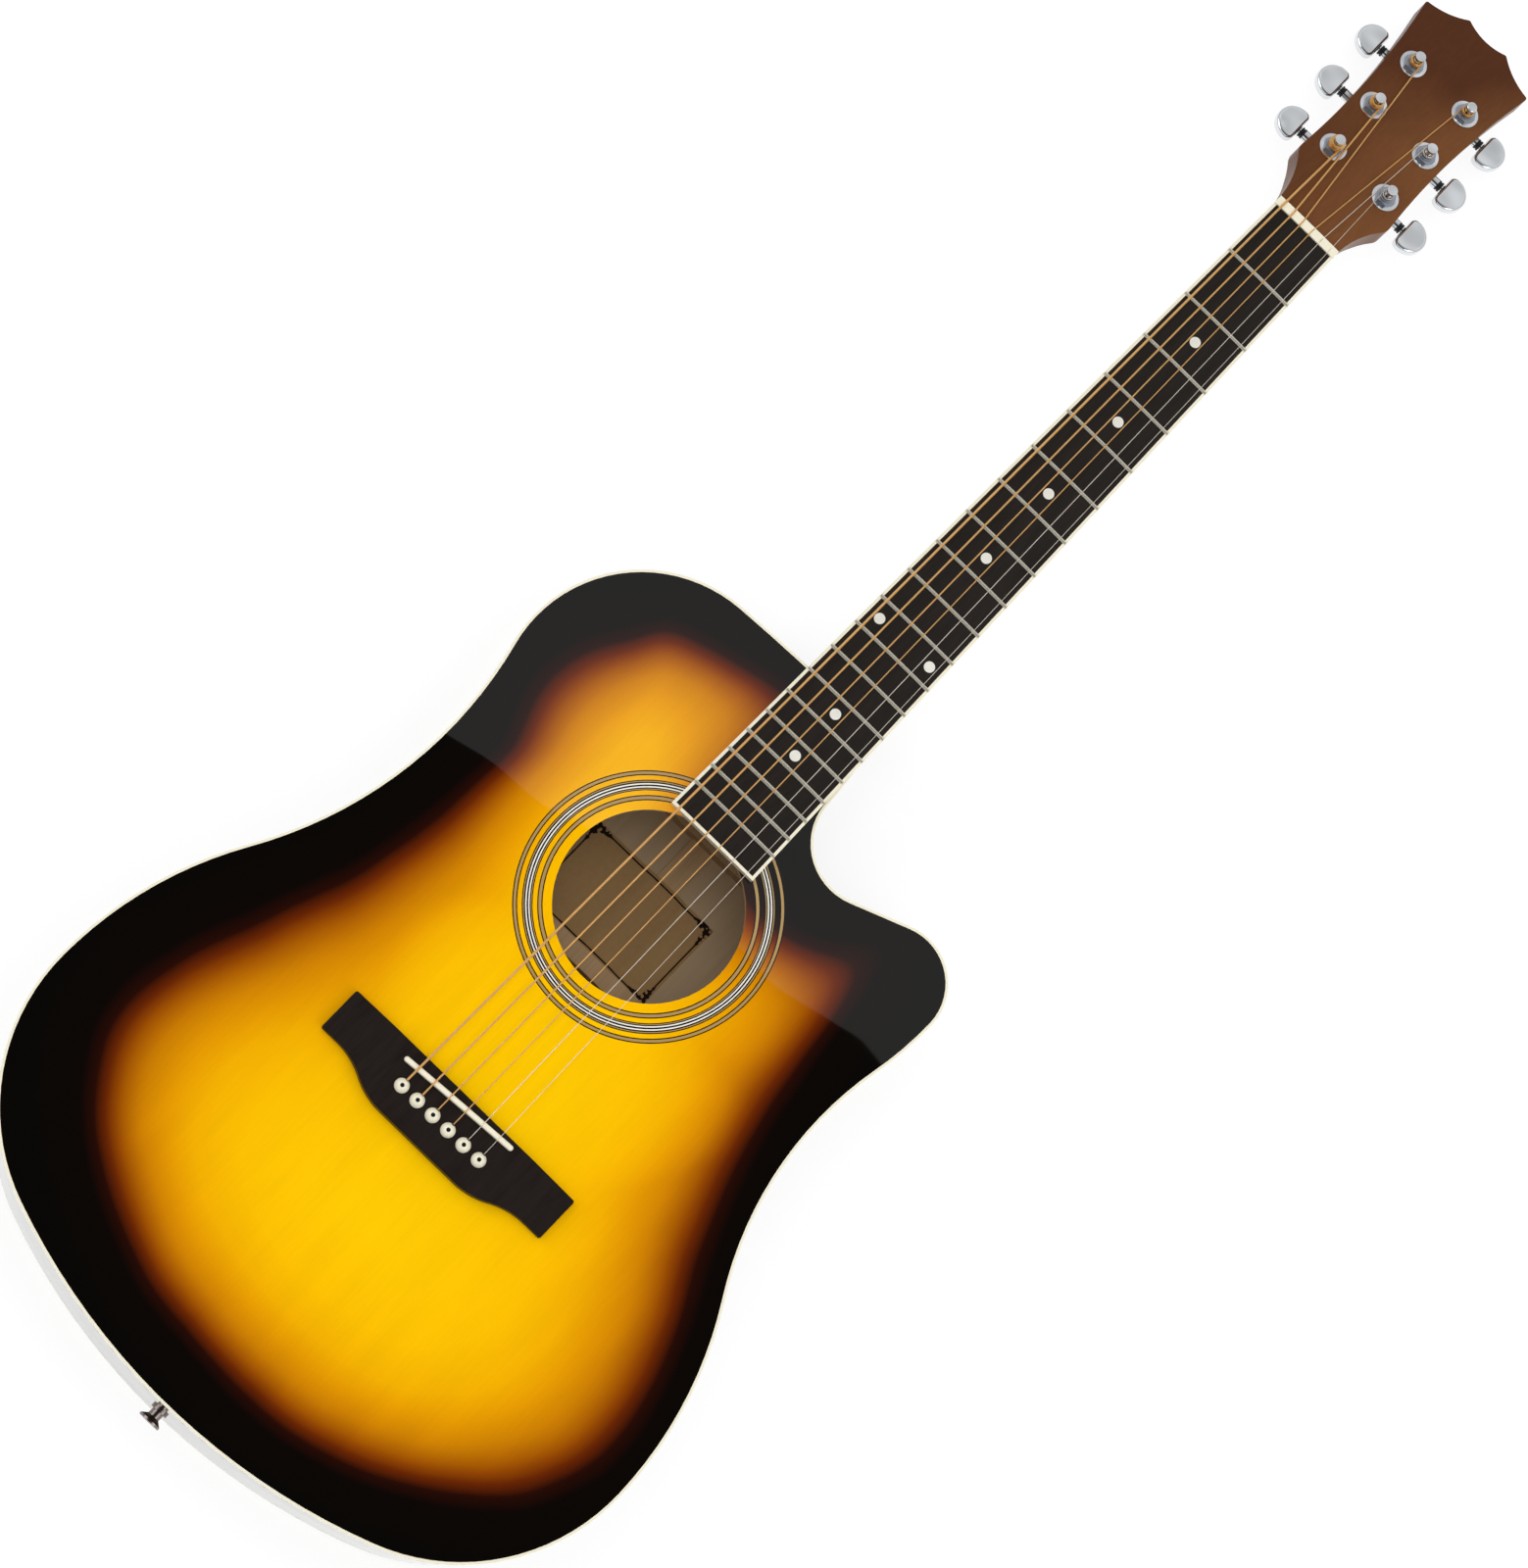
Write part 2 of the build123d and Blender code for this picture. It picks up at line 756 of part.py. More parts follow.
saddle_floor = bridge_thickness - saddle_slot_depth
half_bridge = bridge_length / 2
with BuildPart() as bridge:
    with BuildSketch():
        with BuildLine():
            belly_y = bridge_front_y - bridge_belly_depth
            wing_y = bridge_front_y - bridge_wing_depth
            middle = ((bridge_wing_start + bridge_belly_half) / 2, (wing_y + belly_y) / 2)
            Polyline((0, bridge_front_y), (half_bridge, bridge_front_y), (half_bridge, wing_y))
            Line((half_bridge, wing_y), (bridge_wing_start, wing_y))
            hollow = TangentArc((bridge_wing_start, wing_y), middle, tangent=(-1, 0))
            TangentArc(middle, (bridge_belly_half, belly_y), tangent=hollow % 1)
            Line((bridge_belly_half, belly_y), (0, belly_y))
            mirror(about=Plane.YZ)
        make_face()
    extrude(amount=bridge_thickness)
    fillet(bridge.edges().filter_by(Axis.Z).group_by(Axis.X)[0], bridge_corner_round)
    fillet(bridge.edges().filter_by(Axis.Z).group_by(Axis.X)[-1], bridge_corner_round)
    fillet(bridge.faces().sort_by(Axis.Z)[-1].edges(), bridge_edge_round)
    with BuildSketch(Plane.XZ.offset(-bridge_front_y - 1)):
        with BuildLine():
            Polyline(
                (bridge_flat_half, bridge_thickness),
                (half_bridge + 1, bridge_tip_thickness),
                (half_bridge + 1, bridge_thickness + 1),
                (bridge_flat_half, bridge_thickness + 1),
                close=True,
            )
        make_face()
        mirror(about=Plane.YZ)
    extrude(amount=bridge_belly_depth + 2, mode=Mode.SUBTRACT)
    with BuildSketch(saddle_plane(saddle_floor)):
        SlotOverall(saddle_length, saddle_width)
    extrude(amount=saddle_slot_depth, mode=Mode.SUBTRACT)
    add(pin_holes(), mode=Mode.SUBTRACT)
keep("bridge", bridge.part)

with BuildPart() as saddle:
    with BuildSketch(saddle_plane(saddle_floor)):
        SlotOverall(saddle_length, saddle_width)
    extrude(amount=saddle_height)
    add(under_arch(saddle_height), mode=Mode.INTERSECT)
    fillet(saddle.faces().sort_by(Axis.Z)[-1].edges(), saddle_round)
keep("saddle", saddle.part)

pin_foot = bridge_thickness - pin_length
dome_radius = (pin_head_radius**2 + pin_head_height**2) / (2 * pin_head_height)
dome_centre = bridge_thickness + pin_head_height - dome_radius
dome_start = degrees(asin((bridge_thickness - dome_centre) / dome_radius))
with BuildPart() as bridge_pins:
    with BuildSketch(Plane.XZ, mode=Mode.PRIVATE) as pin_half:
        with BuildLine():
            dome = CenterArc((0, dome_centre), dome_radius, dome_start, 90 - dome_start)
            Polyline(
                dome @ 1,
                (0, pin_foot),
                (pin_end_radius, pin_foot),
                (pin_radius, bridge_thickness),
                dome @ 0,
            )
        make_face()
    pin = revolve(pin_half.sketch, axis=Axis.Z, mode=Mode.PRIVATE)
    with Locations([(pin_x(number), pin_y) for number in range(1, 7)]):
        add(pin)
    with BuildSketch(Plane.XY.offset(bridge_thickness)):
        with Locations([(pin_x(number), pin_y + pin_radius) for number in range(1, 7)]):
            Rectangle(pin_groove_width, pin_head_radius, align=(Align.CENTER, Align.MIN))
    extrude(amount=pin_groove_height, mode=Mode.SUBTRACT)
keep("bridge_pins", bridge_pins.part)

# ---------------------------------------------------------------- neck


def neck_section(y, depth):
    """The neck's D-shaped section where it meets the fingerboard at y."""
    with BuildSketch(Plane.XZ.offset(-y)) as section:
        Ellipse(board_width_at(y) / 2, depth)
        split(bisect_by=Plane.XZ, keep=Keep.TOP)
    return section.sketch


def heel_section(z, half_width, length):
    """The heel's level section at z, flat against the body and round in front."""
    with BuildSketch(Plane.XY.offset(z)) as section:
        with Locations((0, joint_y - 1)):
            Ellipse(half_width, length)
            Rectangle(2 * half_width, 2 * length, align=(Align.CENTER, Align.MAX), mode=Mode.SUBTRACT)
    return section.sketch


def head_outline():
    """The headstock's outline in its own plane."""
    with BuildSketch() as outline:
        with BuildLine():
            flare = TangentArc((nut_width / 2, 0), head_shoulder, tangent=(0, 1))
            ThreePointArc(head_shoulder, head_waist, head_corner)
            ThreePointArc(head_corner, head_scoop, head_peak)
            mirror(about=Plane.YZ)
            ThreePointArc(head_peak, (0, head_dip), (-head_peak[0], head_peak[1]))
            Line((nut_width / 2, 0), (-nut_width / 2, 0))
        make_face()
        ends = outline.vertices()
        fillet(ends.filter_by_position(Axis.Y, head_shoulder[1] - 1, head_shoulder[1] + 1), shoulder_round)
        ends = outline.vertices()
        fillet(ends.filter_by_position(Axis.Y, head_peak[1] - 1, head_peak[1] + 1), head_round)
        ends = outline.vertices()
        fillet(ends.filter_by_position(Axis.Y, head_corner[1] - 1, head_corner[1] + 1), head_round)
    return outline.sketch


heel_bottom = heel_clearance + heel_cap_thickness - depth_at_joint
# each post's side, and its place on the headstock across and up from the nut, in string order
sides_and_rows = ((1, 0), (1, 1), (1, 2), (-1, 2), (-1, 1), (-1, 0))
posts = [(side, side * post_offset, first_post + row * post_pitch) for side, row in sides_and_rows]
post_places = [(x, up) for _, x, up in posts]
screw_drop = cavity_half_width + housing_wall + screw_head_radius + screw_margin
screw_places = [(x, up - screw_drop) for x, up in post_places]


def head_back():
    """What the carving takes off the headstock's back next to the nut, round like the neck's."""
    with BuildPart() as waste:
        for up, half_width, depth in (
            (0, nut_width / 2, neck_depth_at_nut),
            (head_carve_length, head_carve_half_width, head_carve_depth),
        ):
            middle = head_plane.from_local_coords((0, up, 0))
            with BuildSketch(Plane(origin=middle, x_dir=(1, 0, 0), z_dir=head_plane.y_dir)):
                Rectangle(wide, wide)
                Ellipse(half_width, depth, mode=Mode.SUBTRACT)
        loft(ruled=True)
    return waste.part


with BuildPart() as headstock_veneer:
    with BuildSketch(head_plane.offset(-veneer_thickness)):
        add(head_outline())
        with Locations(*post_places):
            Circle(bore_radius, mode=Mode.SUBTRACT)
    extrude(amount=veneer_thickness)
keep("headstock_veneer", headstock_veneer.part)

with BuildPart() as headstock:
    with BuildSketch(head_plane.offset(-head_thickness)):
        add(head_outline())
    extrude(amount=head_thickness - veneer_thickness)
    add(head_back(), mode=Mode.SUBTRACT)

with BuildPart() as neck:
    add(neck_section(nut_length, neck_depth_at_nut))
    add(neck_section(joint_y - 1, neck_depth_at_joint))
    loft(ruled=True)
    for level, *size in zip((*heel_levels, -heel_bottom), heel_half_widths, heel_reaches):
        add(heel_section(-level, *size))
    loft()
    add(prism(body_shape(), 1, -deep), mode=Mode.SUBTRACT)
    add(dovetail())
    add(headstock.part)
    add(headstock_veneer.part, mode=Mode.SUBTRACT)
    with BuildSketch(Plane.XZ.offset(truss_rod_from_nut)):
        with Locations((0, -truss_rod_below_board)):
            Circle(truss_rod_radius + truss_rod_clearance)
    extrude(amount=scale_length, mode=Mode.SUBTRACT)
    with BuildSketch(head_plane.offset(-head_thickness - 1)):
        with Locations(*post_places):
            Circle(bore_radius)
    extrude(amount=head_thickness + 2, mode=Mode.SUBTRACT)
    with BuildSketch(head_plane.offset(-head_thickness)):
        with Locations(*screw_places):
            Circle(screw_radius)
    extrude(amount=screw_length - tab_thickness, mode=Mode.SUBTRACT)
keep("neck", neck.part)

with BuildPart() as heel_cap:
    add(heel_section(heel_bottom - heel_cap_thickness, heel_half_widths[-1], heel_reaches[-1]))
    extrude(amount=heel_cap_thickness)
    add(prism(body_shape(), 1, -deep), mode=Mode.SUBTRACT)
keep("heel_cap", heel_cap.part)

truss_rod_end = joint_y - neck_block_length - truss_rod_past_block
with BuildPart() as truss_rod:
    with BuildSketch(Plane.XZ.offset(truss_rod_from_nut + 1)):
        with Locations((0, -truss_rod_below_board)):
            Circle(truss_rod_radius)
    extrude(amount=-truss_rod_end - truss_rod_from_nut - 1)
    with BuildSketch(Plane.XZ.offset(-truss_rod_end)):
        with Locations((0, -truss_rod_below_board)):
            RegularPolygon(truss_socket_radius, 6)
    extrude(amount=-truss_rod_past_block / 2, mode=Mode.SUBTRACT)
keep("truss_rod", truss_rod.part)


# Fingerboard

def board_plan(inset):
    """The fingerboard seen from above, with inset taken off its sides and its end."""
    near, far = nut_width / 2 - inset, board_end_width / 2 - inset
    end_y = board_end_y + inset
    with BuildSketch() as plan:
        with BuildLine():
            Polyline((-near, 0), (near, 0), (far, end_y), (-far, end_y), close=True)
        make_face()
    return plan.sketch


def bent_bar(y, half_length, section):
    """A bar bent to the board's arch at y, from its section drawn as along the neck and radius."""
    reach = asin(half_length / board_radius)
    start = Plane(
        origin=(0, y, board_thickness - board_radius),
        x_dir=(0, 1, 0),
        z_dir=(cos(reach), 0, sin(reach)),
    )
    with BuildPart() as bar:
        with BuildSketch(start):
            add(section)
        revolve(axis=Axis(start.origin, (0, 1, 0)), revolution_arc=degrees(2 * reach))
    return bar.part


with BuildSketch() as crown_section:
    with BuildLine():
        half = fret_width / 2
        ThreePointArc((-half, board_radius), (0, board_radius + fret_height), (half, board_radius))
        Line((half, board_radius), (-half, board_radius))
    make_face()

with BuildSketch() as tang_section:
    with Locations((0, board_radius)):
        Rectangle(tang_width, tang_depth, align=(Align.CENTER, Align.MAX))

with BuildPart() as tangs:
    for number in range(1, fret_count + 1):
        half = board_width_at(fret_y(number)) / 2 - board_binding - tang_inset
        add(bent_bar(fret_y(number), half, tang_section.sketch))

with BuildPart() as frets:
    for number in range(1, fret_count + 1):
        half = board_width_at(fret_y(number)) / 2 - fret_end_inset
        add(bent_bar(fret_y(number), half, crown_section.sketch))
    add(tangs.part)
keep("frets", frets.part)

with BuildPart() as position_dots:
    places = [(0, (fret_y(n) + fret_y(n - 1)) / 2) for n in dot_frets]
    pair_y = (fret_y(double_dot_fret) + fret_y(double_dot_fret - 1)) / 2
    places += [(-double_dot_offset, pair_y), (double_dot_offset, pair_y)]
    with BuildSketch(Plane.XY.offset(board_thickness - dot_depth)):
        with Locations(*places):
            Circle(dot_radius)
    extrude(amount=dot_depth)
    add(under_arch(board_thickness), mode=Mode.INTERSECT)
keep("position_dots", position_dots.part)

with BuildPart() as fingerboard:
    add(prism(board_plan(board_binding), board_thickness, 0))
    add(under_arch(board_thickness), mode=Mode.INTERSECT)
    add(tangs.part, mode=Mode.SUBTRACT)
    add(position_dots.part, mode=Mode.SUBTRACT)
keep("fingerboard", fingerboard.part)

with BuildPart() as fingerboard_binding:
    with BuildSketch() as edge:
        add(board_plan(0))
        add(board_plan(board_binding), mode=Mode.SUBTRACT)
    extrude(amount=board_thickness)
    add(under_arch(board_thickness), mode=Mode.INTERSECT)
keep("fingerboard_binding", fingerboard_binding.part)

# ---------------------------------------------------------------- strings

nut_floor = board_thickness + fret_height + action_at_nut


def bend_drop(radius, degrees_turned):
    """How far a rounded bend passes inside its corner."""
    return radius * (1 / cos(radians(degrees_turned / 2)) - 1)


def post_of(number):
    """Across and up from the nut, in the headstock's plane, of a string's post."""
    return Vector(*post_places[number - 1])


def string_points(number):
    """A string's corners: its ball, the bridge, the saddle, the nut and its post's inner side."""
    radius = gauges[number - 1] / 2
    slot = Vector(pin_x(number), pin_y + pin_radius + string_slot_gap)
    nut = Vector((3.5 - number) * nut_spacing, nut_length / 2)
    slope = (slot.X - nut.X) / (slot.Y - nut.Y)
    saddle_line = tan(radians(saddle_slant))
    over_y = (saddle_y - saddle_lag + saddle_line * (nut.X - slope * nut.Y)) / (1 - saddle_line * slope)
    over_x = nut.X + slope * (over_y - nut.Y)
    rest = seat_gap + radius
    over_z = saddle_height - crown_drop(over_x) + rest + bend_drop(saddle_bend, saddle_turn)
    nut_z = nut_floor - crown_drop(nut.X) + rest + bend_drop(nut_bend, nut_turn)
    over_nut = Vector(nut.X, nut.Y, nut_z)
    seen = head_plane.to_local_coords(over_nut)
    centre, reach = post_of(number), coil_radius(number)
    way = centre - Vector(seen.X, seen.Y)
    swing = degrees(asin(reach / way.length)) * (1 if centre.X > 0 else -1)
    run = way.rotate(Axis.Z, swing).normalized() * sqrt(way.length**2 - reach**2)
    wrap = head_plane.from_local_coords(Vector(seen.X + run.X, seen.Y + run.Y, string_exit))
    return (
        Vector(slot.X, slot.Y, -top_thickness - bridge_plate_depth - ball_radius),
        Vector(slot.X, slot.Y, bridge_thickness + radius / 2),
        Vector(over_x, over_y, over_z),
        over_nut,
        wrap,
    )


def coil_radius(number):
    """From a post's axis to the middle of the string wound on it."""
    return post_waist_radius + coil_clearance + gauges[number - 1] / 2


def string(number):
    """One whole string, from the ball under the bridge plate to its turns round the post."""
    gauge = gauges[number - 1]
    points = string_points(number)
    with BuildPart() as cord:
        with BuildLine() as route:
            FilletPolyline(*points, radius=(bridge_bend, saddle_bend, nut_bend))
        with BuildSketch(Plane(origin=route.line @ 0, z_dir=route.line % 0)):
            Circle(gauge / 2)
        sweep()
        ball = Plane(origin=points[0] + Vector(-ball_length / 2, ball_offset, 0), z_dir=(1, 0, 0))
        with BuildSketch(ball):
            Circle(ball_radius)
        extrude(amount=ball_length)
        centre = post_of(number)
        with BuildSketch(head_plane.offset(string_exit - gauge / 2)):
            with Locations((centre.X, centre.Y)):
                Circle(coil_radius(number) + gauge / 2)
                Circle(coil_radius(number) - gauge / 2, mode=Mode.SUBTRACT)
        extrude(amount=coil_turns * gauge)
    return cord.part


for number in range(1, 7):
    keep(f"string_{number}", string(number))

with BuildPart() as nut:
    with BuildSketch(Plane.XY):
        with Locations((0, nut_length / 2)):
            Rectangle(nut_width, nut_length)
    extrude(amount=nut_floor + nut_rise)
    add(under_arch(nut_floor + nut_rise), mode=Mode.INTERSECT)
    for number in range(1, 7):
        _, _, before, over, after = string_points(number)
        with BuildLine(mode=Mode.PRIVATE) as groove:
            FilletPolyline(
                toward(over, before, 2 * nut_length), over, toward(over, after, 2 * nut_length),
                radius=nut_bend,
            )
        with BuildSketch(Plane(origin=groove.line @ 0, z_dir=groove.line % 0), mode=Mode.PRIVATE) as bore:
            Circle(gauges[number - 1] / 2 + slot_clearance)
        sweep(bore.sketch, path=groove.line, mode=Mode.SUBTRACT)
keep("nut", nut.part)

# ---------------------------------------------------------------- tuners

back_d = -head_thickness                        # the headstock's back
worm_d = back_d - worm_below_head
cavity_d = back_d - housing_depth + housing_floor
wheel_pitch_radius = tooth_module * wheel_teeth / 2
worm_pitch_radius = worm_offset - wheel_pitch_radius
worm_root_radius = worm_pitch_radius - tooth_height - tooth_gap
worm_lead = pi * tooth_module
worm_lead_angle = atan(tooth_module / 2 / worm_pitch_radius)
tooth_depth = 2 * tooth_height + tooth_gap
flank_slope = tan(radians(tooth_flank))


def worm_plane(number, across):
    """Plane across a tuner's worm, facing outward, at a distance from the centreline."""
    side, _, up = posts[number - 1]
    origin = head_plane.from_local_coords(Vector(side * across, up + worm_offset, worm_d))
    return Plane(origin=origin, x_dir=head_plane.y_dir, z_dir=(side, 0, 0))


def turned(number, across, length, radius):
    """A round bar on a tuner's worm axis, from a distance outward."""
    with BuildPart() as bar:
        with BuildSketch(worm_plane(number, across)):
            Circle(radius)
        extrude(amount=length)
    return bar.part


def tuner_housing(number):
    """The closed gear case on the headstock's back, with its collar and its screw tab."""
    _, x, up = posts[number - 1]
    inner, outer = post_offset - cavity_half_width, post_offset + cavity_half_width
    low, high = up - cavity_half_width, up + worm_offset + worm_pitch_radius + tooth_height + case_gap
    middle = (x, (low + high) / 2)
    cavity = (2 * cavity_half_width, high - low)
    with BuildPart() as housing:
        with BuildSketch(head_plane.offset(back_d)):
            with Locations(middle):
                RectangleRounded(*(span + 2 * housing_wall for span in cavity), housing_round)
        extrude(amount=-housing_depth)
        floor = housing.faces().sort_by(Axis(head_plane.origin, head_plane.z_dir))[0]
        fillet(floor.edges(), housing_edge_round)
        with BuildSketch(head_plane.offset(back_d)):
            with Locations((x, up - screw_drop)):
                Circle(tab_radius)
                Rectangle(2 * tab_radius, screw_drop, align=(Align.CENTER, Align.MIN))
        extrude(amount=-tab_thickness)
        add(turned(number, outer, collar_end - outer, collar_radius))
        with BuildSketch(head_plane.offset(back_d)):
            with Locations(middle):
                Rectangle(*cavity)
        extrude(amount=cavity_d - back_d, mode=Mode.SUBTRACT)
        with BuildSketch(head_plane.offset(cavity_d - pivot_depth)):
            with Locations((x, up)):
                Circle(pivot_radius + running_clearance)
        extrude(amount=pivot_depth, mode=Mode.SUBTRACT)
        with BuildSketch(head_plane.offset(back_d - tab_thickness)):
            with Locations((x, up - screw_drop)):
                Circle(screw_radius + running_clearance)
        extrude(amount=tab_thickness, mode=Mode.SUBTRACT)
        bore = turned(number, outer, collar_end - outer, shaft_radius + running_clearance)
        add(bore, mode=Mode.SUBTRACT)
        pivot = turned(number, inner - pivot_depth, pivot_depth, pivot_radius + running_clearance)
        add(pivot, mode=Mode.SUBTRACT)
    return housing.part


def string_post(number):
    """The post that a string winds on, with its square seat for the wheel and its lower pivot."""
    _, x, up = posts[number - 1]
    floor_d, seat_top = cavity_d + end_play, back_d - shoulder_gap
    grip = string_exit - post_flare
    grip_end = grip + post_grip_length
    middle = head_plane.from_local_coords((x, up, 0))
    section = Plane(origin=middle, x_dir=(1, 0, 0), z_dir=-head_plane.y_dir)
    with BuildPart() as post:
        with BuildSketch(section) as half:
            with BuildLine():
                Polyline(
                    (0, seat_top),
                    (post_radius, seat_top),
                    (post_radius, grip - post_flare),
                    (post_waist_radius, grip),
                    (post_waist_radius, grip_end),
                    (post_radius, grip_end + post_flare),
                    (post_radius, post_height),
                    (0, post_height),
                    close=True,
                )
            make_face()
            fillet(half.vertices().group_by(Axis.X)[-1].sort_by(Axis.Z)[-1], post_edge_round)
        revolve(axis=Axis(section.origin, section.y_dir))
        with BuildSketch(head_plane.offset(seat_top)):
            with Locations((x, up)):
                Rectangle(wheel_square, wheel_square)
        extrude(amount=floor_d - seat_top)
        with BuildSketch(head_plane.offset(floor_d)):
            with Locations((x, up)):
                Circle(pivot_radius)
        extrude(amount=-pivot_depth)
        eye_start = head_plane.from_local_coords((x, up - 2 * post_radius, post_hole_height))
        with BuildSketch(Plane(origin=eye_start, x_dir=(1, 0, 0), z_dir=head_plane.y_dir)):
            Circle(post_hole_radius)
        extrude(amount=4 * post_radius, mode=Mode.SUBTRACT)
    return post.part


def worm_wheel(number):
    """The wheel on the post's square seat, its tooth spaces slanted to the worm's thread."""
    _, x, up = posts[number - 1]
    floor_y = up + wheel_pitch_radius - tooth_height - tooth_gap
    half_floor, half_mouth = tooth_space / 2, tooth_space / 2 + 2 * tooth_depth * flank_slope
    lean = head_plane.x_dir * -sin(worm_lead_angle) + head_plane.z_dir * cos(worm_lead_angle)
    space_plane = Plane(
        origin=head_plane.from_local_coords((x, floor_y, worm_d)),
        x_dir=head_plane.y_dir.cross(lean),
        z_dir=lean,
    )
    with BuildPart() as wheel:
        with BuildSketch(head_plane.offset(worm_d - wheel_thickness / 2)):
            with Locations((x, up)):
                Circle(wheel_pitch_radius + tooth_height)
                Rectangle(wheel_square, wheel_square, mode=Mode.SUBTRACT)
        extrude(amount=wheel_thickness)
        with BuildSketch(space_plane, mode=Mode.PRIVATE) as space:
            with BuildLine():
                Polyline(
                    (-half_floor, 0),
                    (half_floor, 0),
                    (half_mouth, 2 * tooth_depth),
                    (-half_mouth, 2 * tooth_depth),
                    close=True,
                )
            make_face()
        cut = extrude(space.sketch, amount=wheel_thickness, both=True, mode=Mode.PRIVATE)
        post_axis = Axis(head_plane.from_local_coords((x, up, 0)), head_plane.z_dir)
        for turn in range(wheel_teeth):
            add(cut.rotate(post_axis, 360 / wheel_teeth * turn), mode=Mode.SUBTRACT)
    return wheel.part


def worm_shaft(number):
    """The shaft from the inner pivot through worm and collar to the knob."""
    inner, outer = post_offset - cavity_half_width, post_offset + cavity_half_width
    foot = inner - pivot_depth + end_play
    middle = worm_plane(number, post_offset)
    with BuildPart() as shaft:
        add(turned(number, foot, outer - shoulder_gap - foot, pivot_radius))
        add(turned(number, post_offset - worm_length / 2, worm_length, worm_root_radius))
        add(turned(number, outer - shoulder_gap, knob_start - outer + shoulder_gap, shaft_radius))
        add(turned(number, knob_start, knob_reach - knob_start - knob_cover, knob_stem))
        with BuildLine(mode=Mode.PRIVATE) as path:
            turns_length = thread_turns * worm_lead
            Helix(worm_lead, turns_length, worm_root_radius, center=(0, 0, -turns_length / 2))
        start = Plane(origin=path.line @ 0, x_dir=(1, 0, 0), z_dir=path.line % 0)
        with BuildSketch(start, mode=Mode.PRIVATE) as thread:
            with BuildLine():
                half_foot = thread_crest / 2 + (tooth_depth + tooth_gap) * flank_slope
                Polyline(
                    (-tooth_gap, -half_foot),
                    (tooth_depth, -thread_crest / 2),
                    (tooth_depth, thread_crest / 2),
                    (-tooth_gap, half_foot),
                    close=True,
                )
            make_face()
        winding = sweep(thread.sketch, path=path.line, is_frenet=True, mode=Mode.PRIVATE)
        add(middle.from_local_coords(winding))
    return shaft.part


def knob(number):
    """The knob: a round of metal cut straight towards the headstock, with soft edges."""
    side, _, up = posts[number - 1]
    axis_up = up + worm_offset
    sagitta = knob_reach - knob_start
    with BuildPart() as head:
        with BuildSketch(head_plane.offset(worm_d - knob_thickness / 2)) as face:
            with BuildLine():
                low = (side * knob_start, axis_up - knob_half_height)
                high = (side * knob_start, axis_up + knob_half_height)
                Line(high, low)
                ThreePointArc(low, (side * (knob_start + sagitta), axis_up), high)
            make_face()
            fillet(face.vertices(), knob_corner)
        extrude(amount=knob_thickness)
        fillet(head.edges(), knob_round)
        seat = turned(number, knob_start, knob_reach - knob_start - knob_cover, knob_stem)
        add(seat, mode=Mode.SUBTRACT)
    return head.part


with BuildPart() as tuner_housings:
    for number in range(1, 7):
        add(tuner_housing(number))
keep("tuner_housings", tuner_housings.part)

with BuildPart() as tuner_screws:
    with BuildSketch(head_plane.offset(back_d - tab_thickness)):
        with Locations(*screw_places):
            Circle(screw_head_radius)
    extrude(amount=-screw_head_height)
    with BuildSketch(head_plane.offset(back_d - tab_thickness)):
        with Locations(*screw_places):
            Circle(screw_radius)
    extrude(amount=screw_length)
keep("tuner_screws", tuner_screws.part)

with BuildPart() as tuner_washers:
    with BuildSketch(head_plane):
        with Locations(*post_places):
            Circle(washer_radius)
            Circle(bore_radius, mode=Mode.SUBTRACT)
    extrude(amount=washer_thickness)
keep("tuner_washers", tuner_washers.part)

with BuildPart() as tuner_bushings:
    with BuildSketch(head_plane.offset(washer_thickness)):
        with Locations(*post_places):
            RegularPolygon(bushing_hex / 2, 6, major_radius=False)
    extrude(amount=bushing_hex_height)
    with BuildSketch(head_plane.offset(washer_thickness + bushing_hex_height)):
        with Locations(*post_places):
            Circle(bushing_dome_radius)
    extrude(amount=bushing_dome_height)
    with BuildSketch(head_plane.offset(washer_thickness - bushing_depth)):
        with Locations(*post_places):
            Circle(bushing_radius)
    extrude(amount=bushing_depth)
    with BuildSketch(head_plane.offset(washer_thickness - bushing_depth)):
        with Locations(*post_places):
            Circle(post_radius + running_clearance)
    extrude(amount=head_thickness + post_height, mode=Mode.SUBTRACT)
keep("tuner_bushings", tuner_bushings.part)

with BuildPart() as shaft_washers:
    for number in range(1, 7):
        for place in (collar_end, collar_end + shaft_washer_thickness + shaft_washer_gap):
            add(turned(number, place, shaft_washer_thickness, shaft_washer_radius))
        length = knob_start - collar_end
        add(turned(number, collar_end, 2 * shaft_washer_thickness + shaft_washer_gap, shaft_sleeve_radius))
        add(turned(number, collar_end, length, shaft_radius + running_clearance), mode=Mode.SUBTRACT)
keep("shaft_washers", shaft_washers.part)

for number in range(1, 7):
    keep(f"string_post_{number}", string_post(number))
    keep(f"worm_wheel_{number}", worm_wheel(number))
    keep(f"tuner_knob_{number}", Compound(children=[knob(number), worm_shaft(number)]))

# ---------------------------------------------------------------- strap button

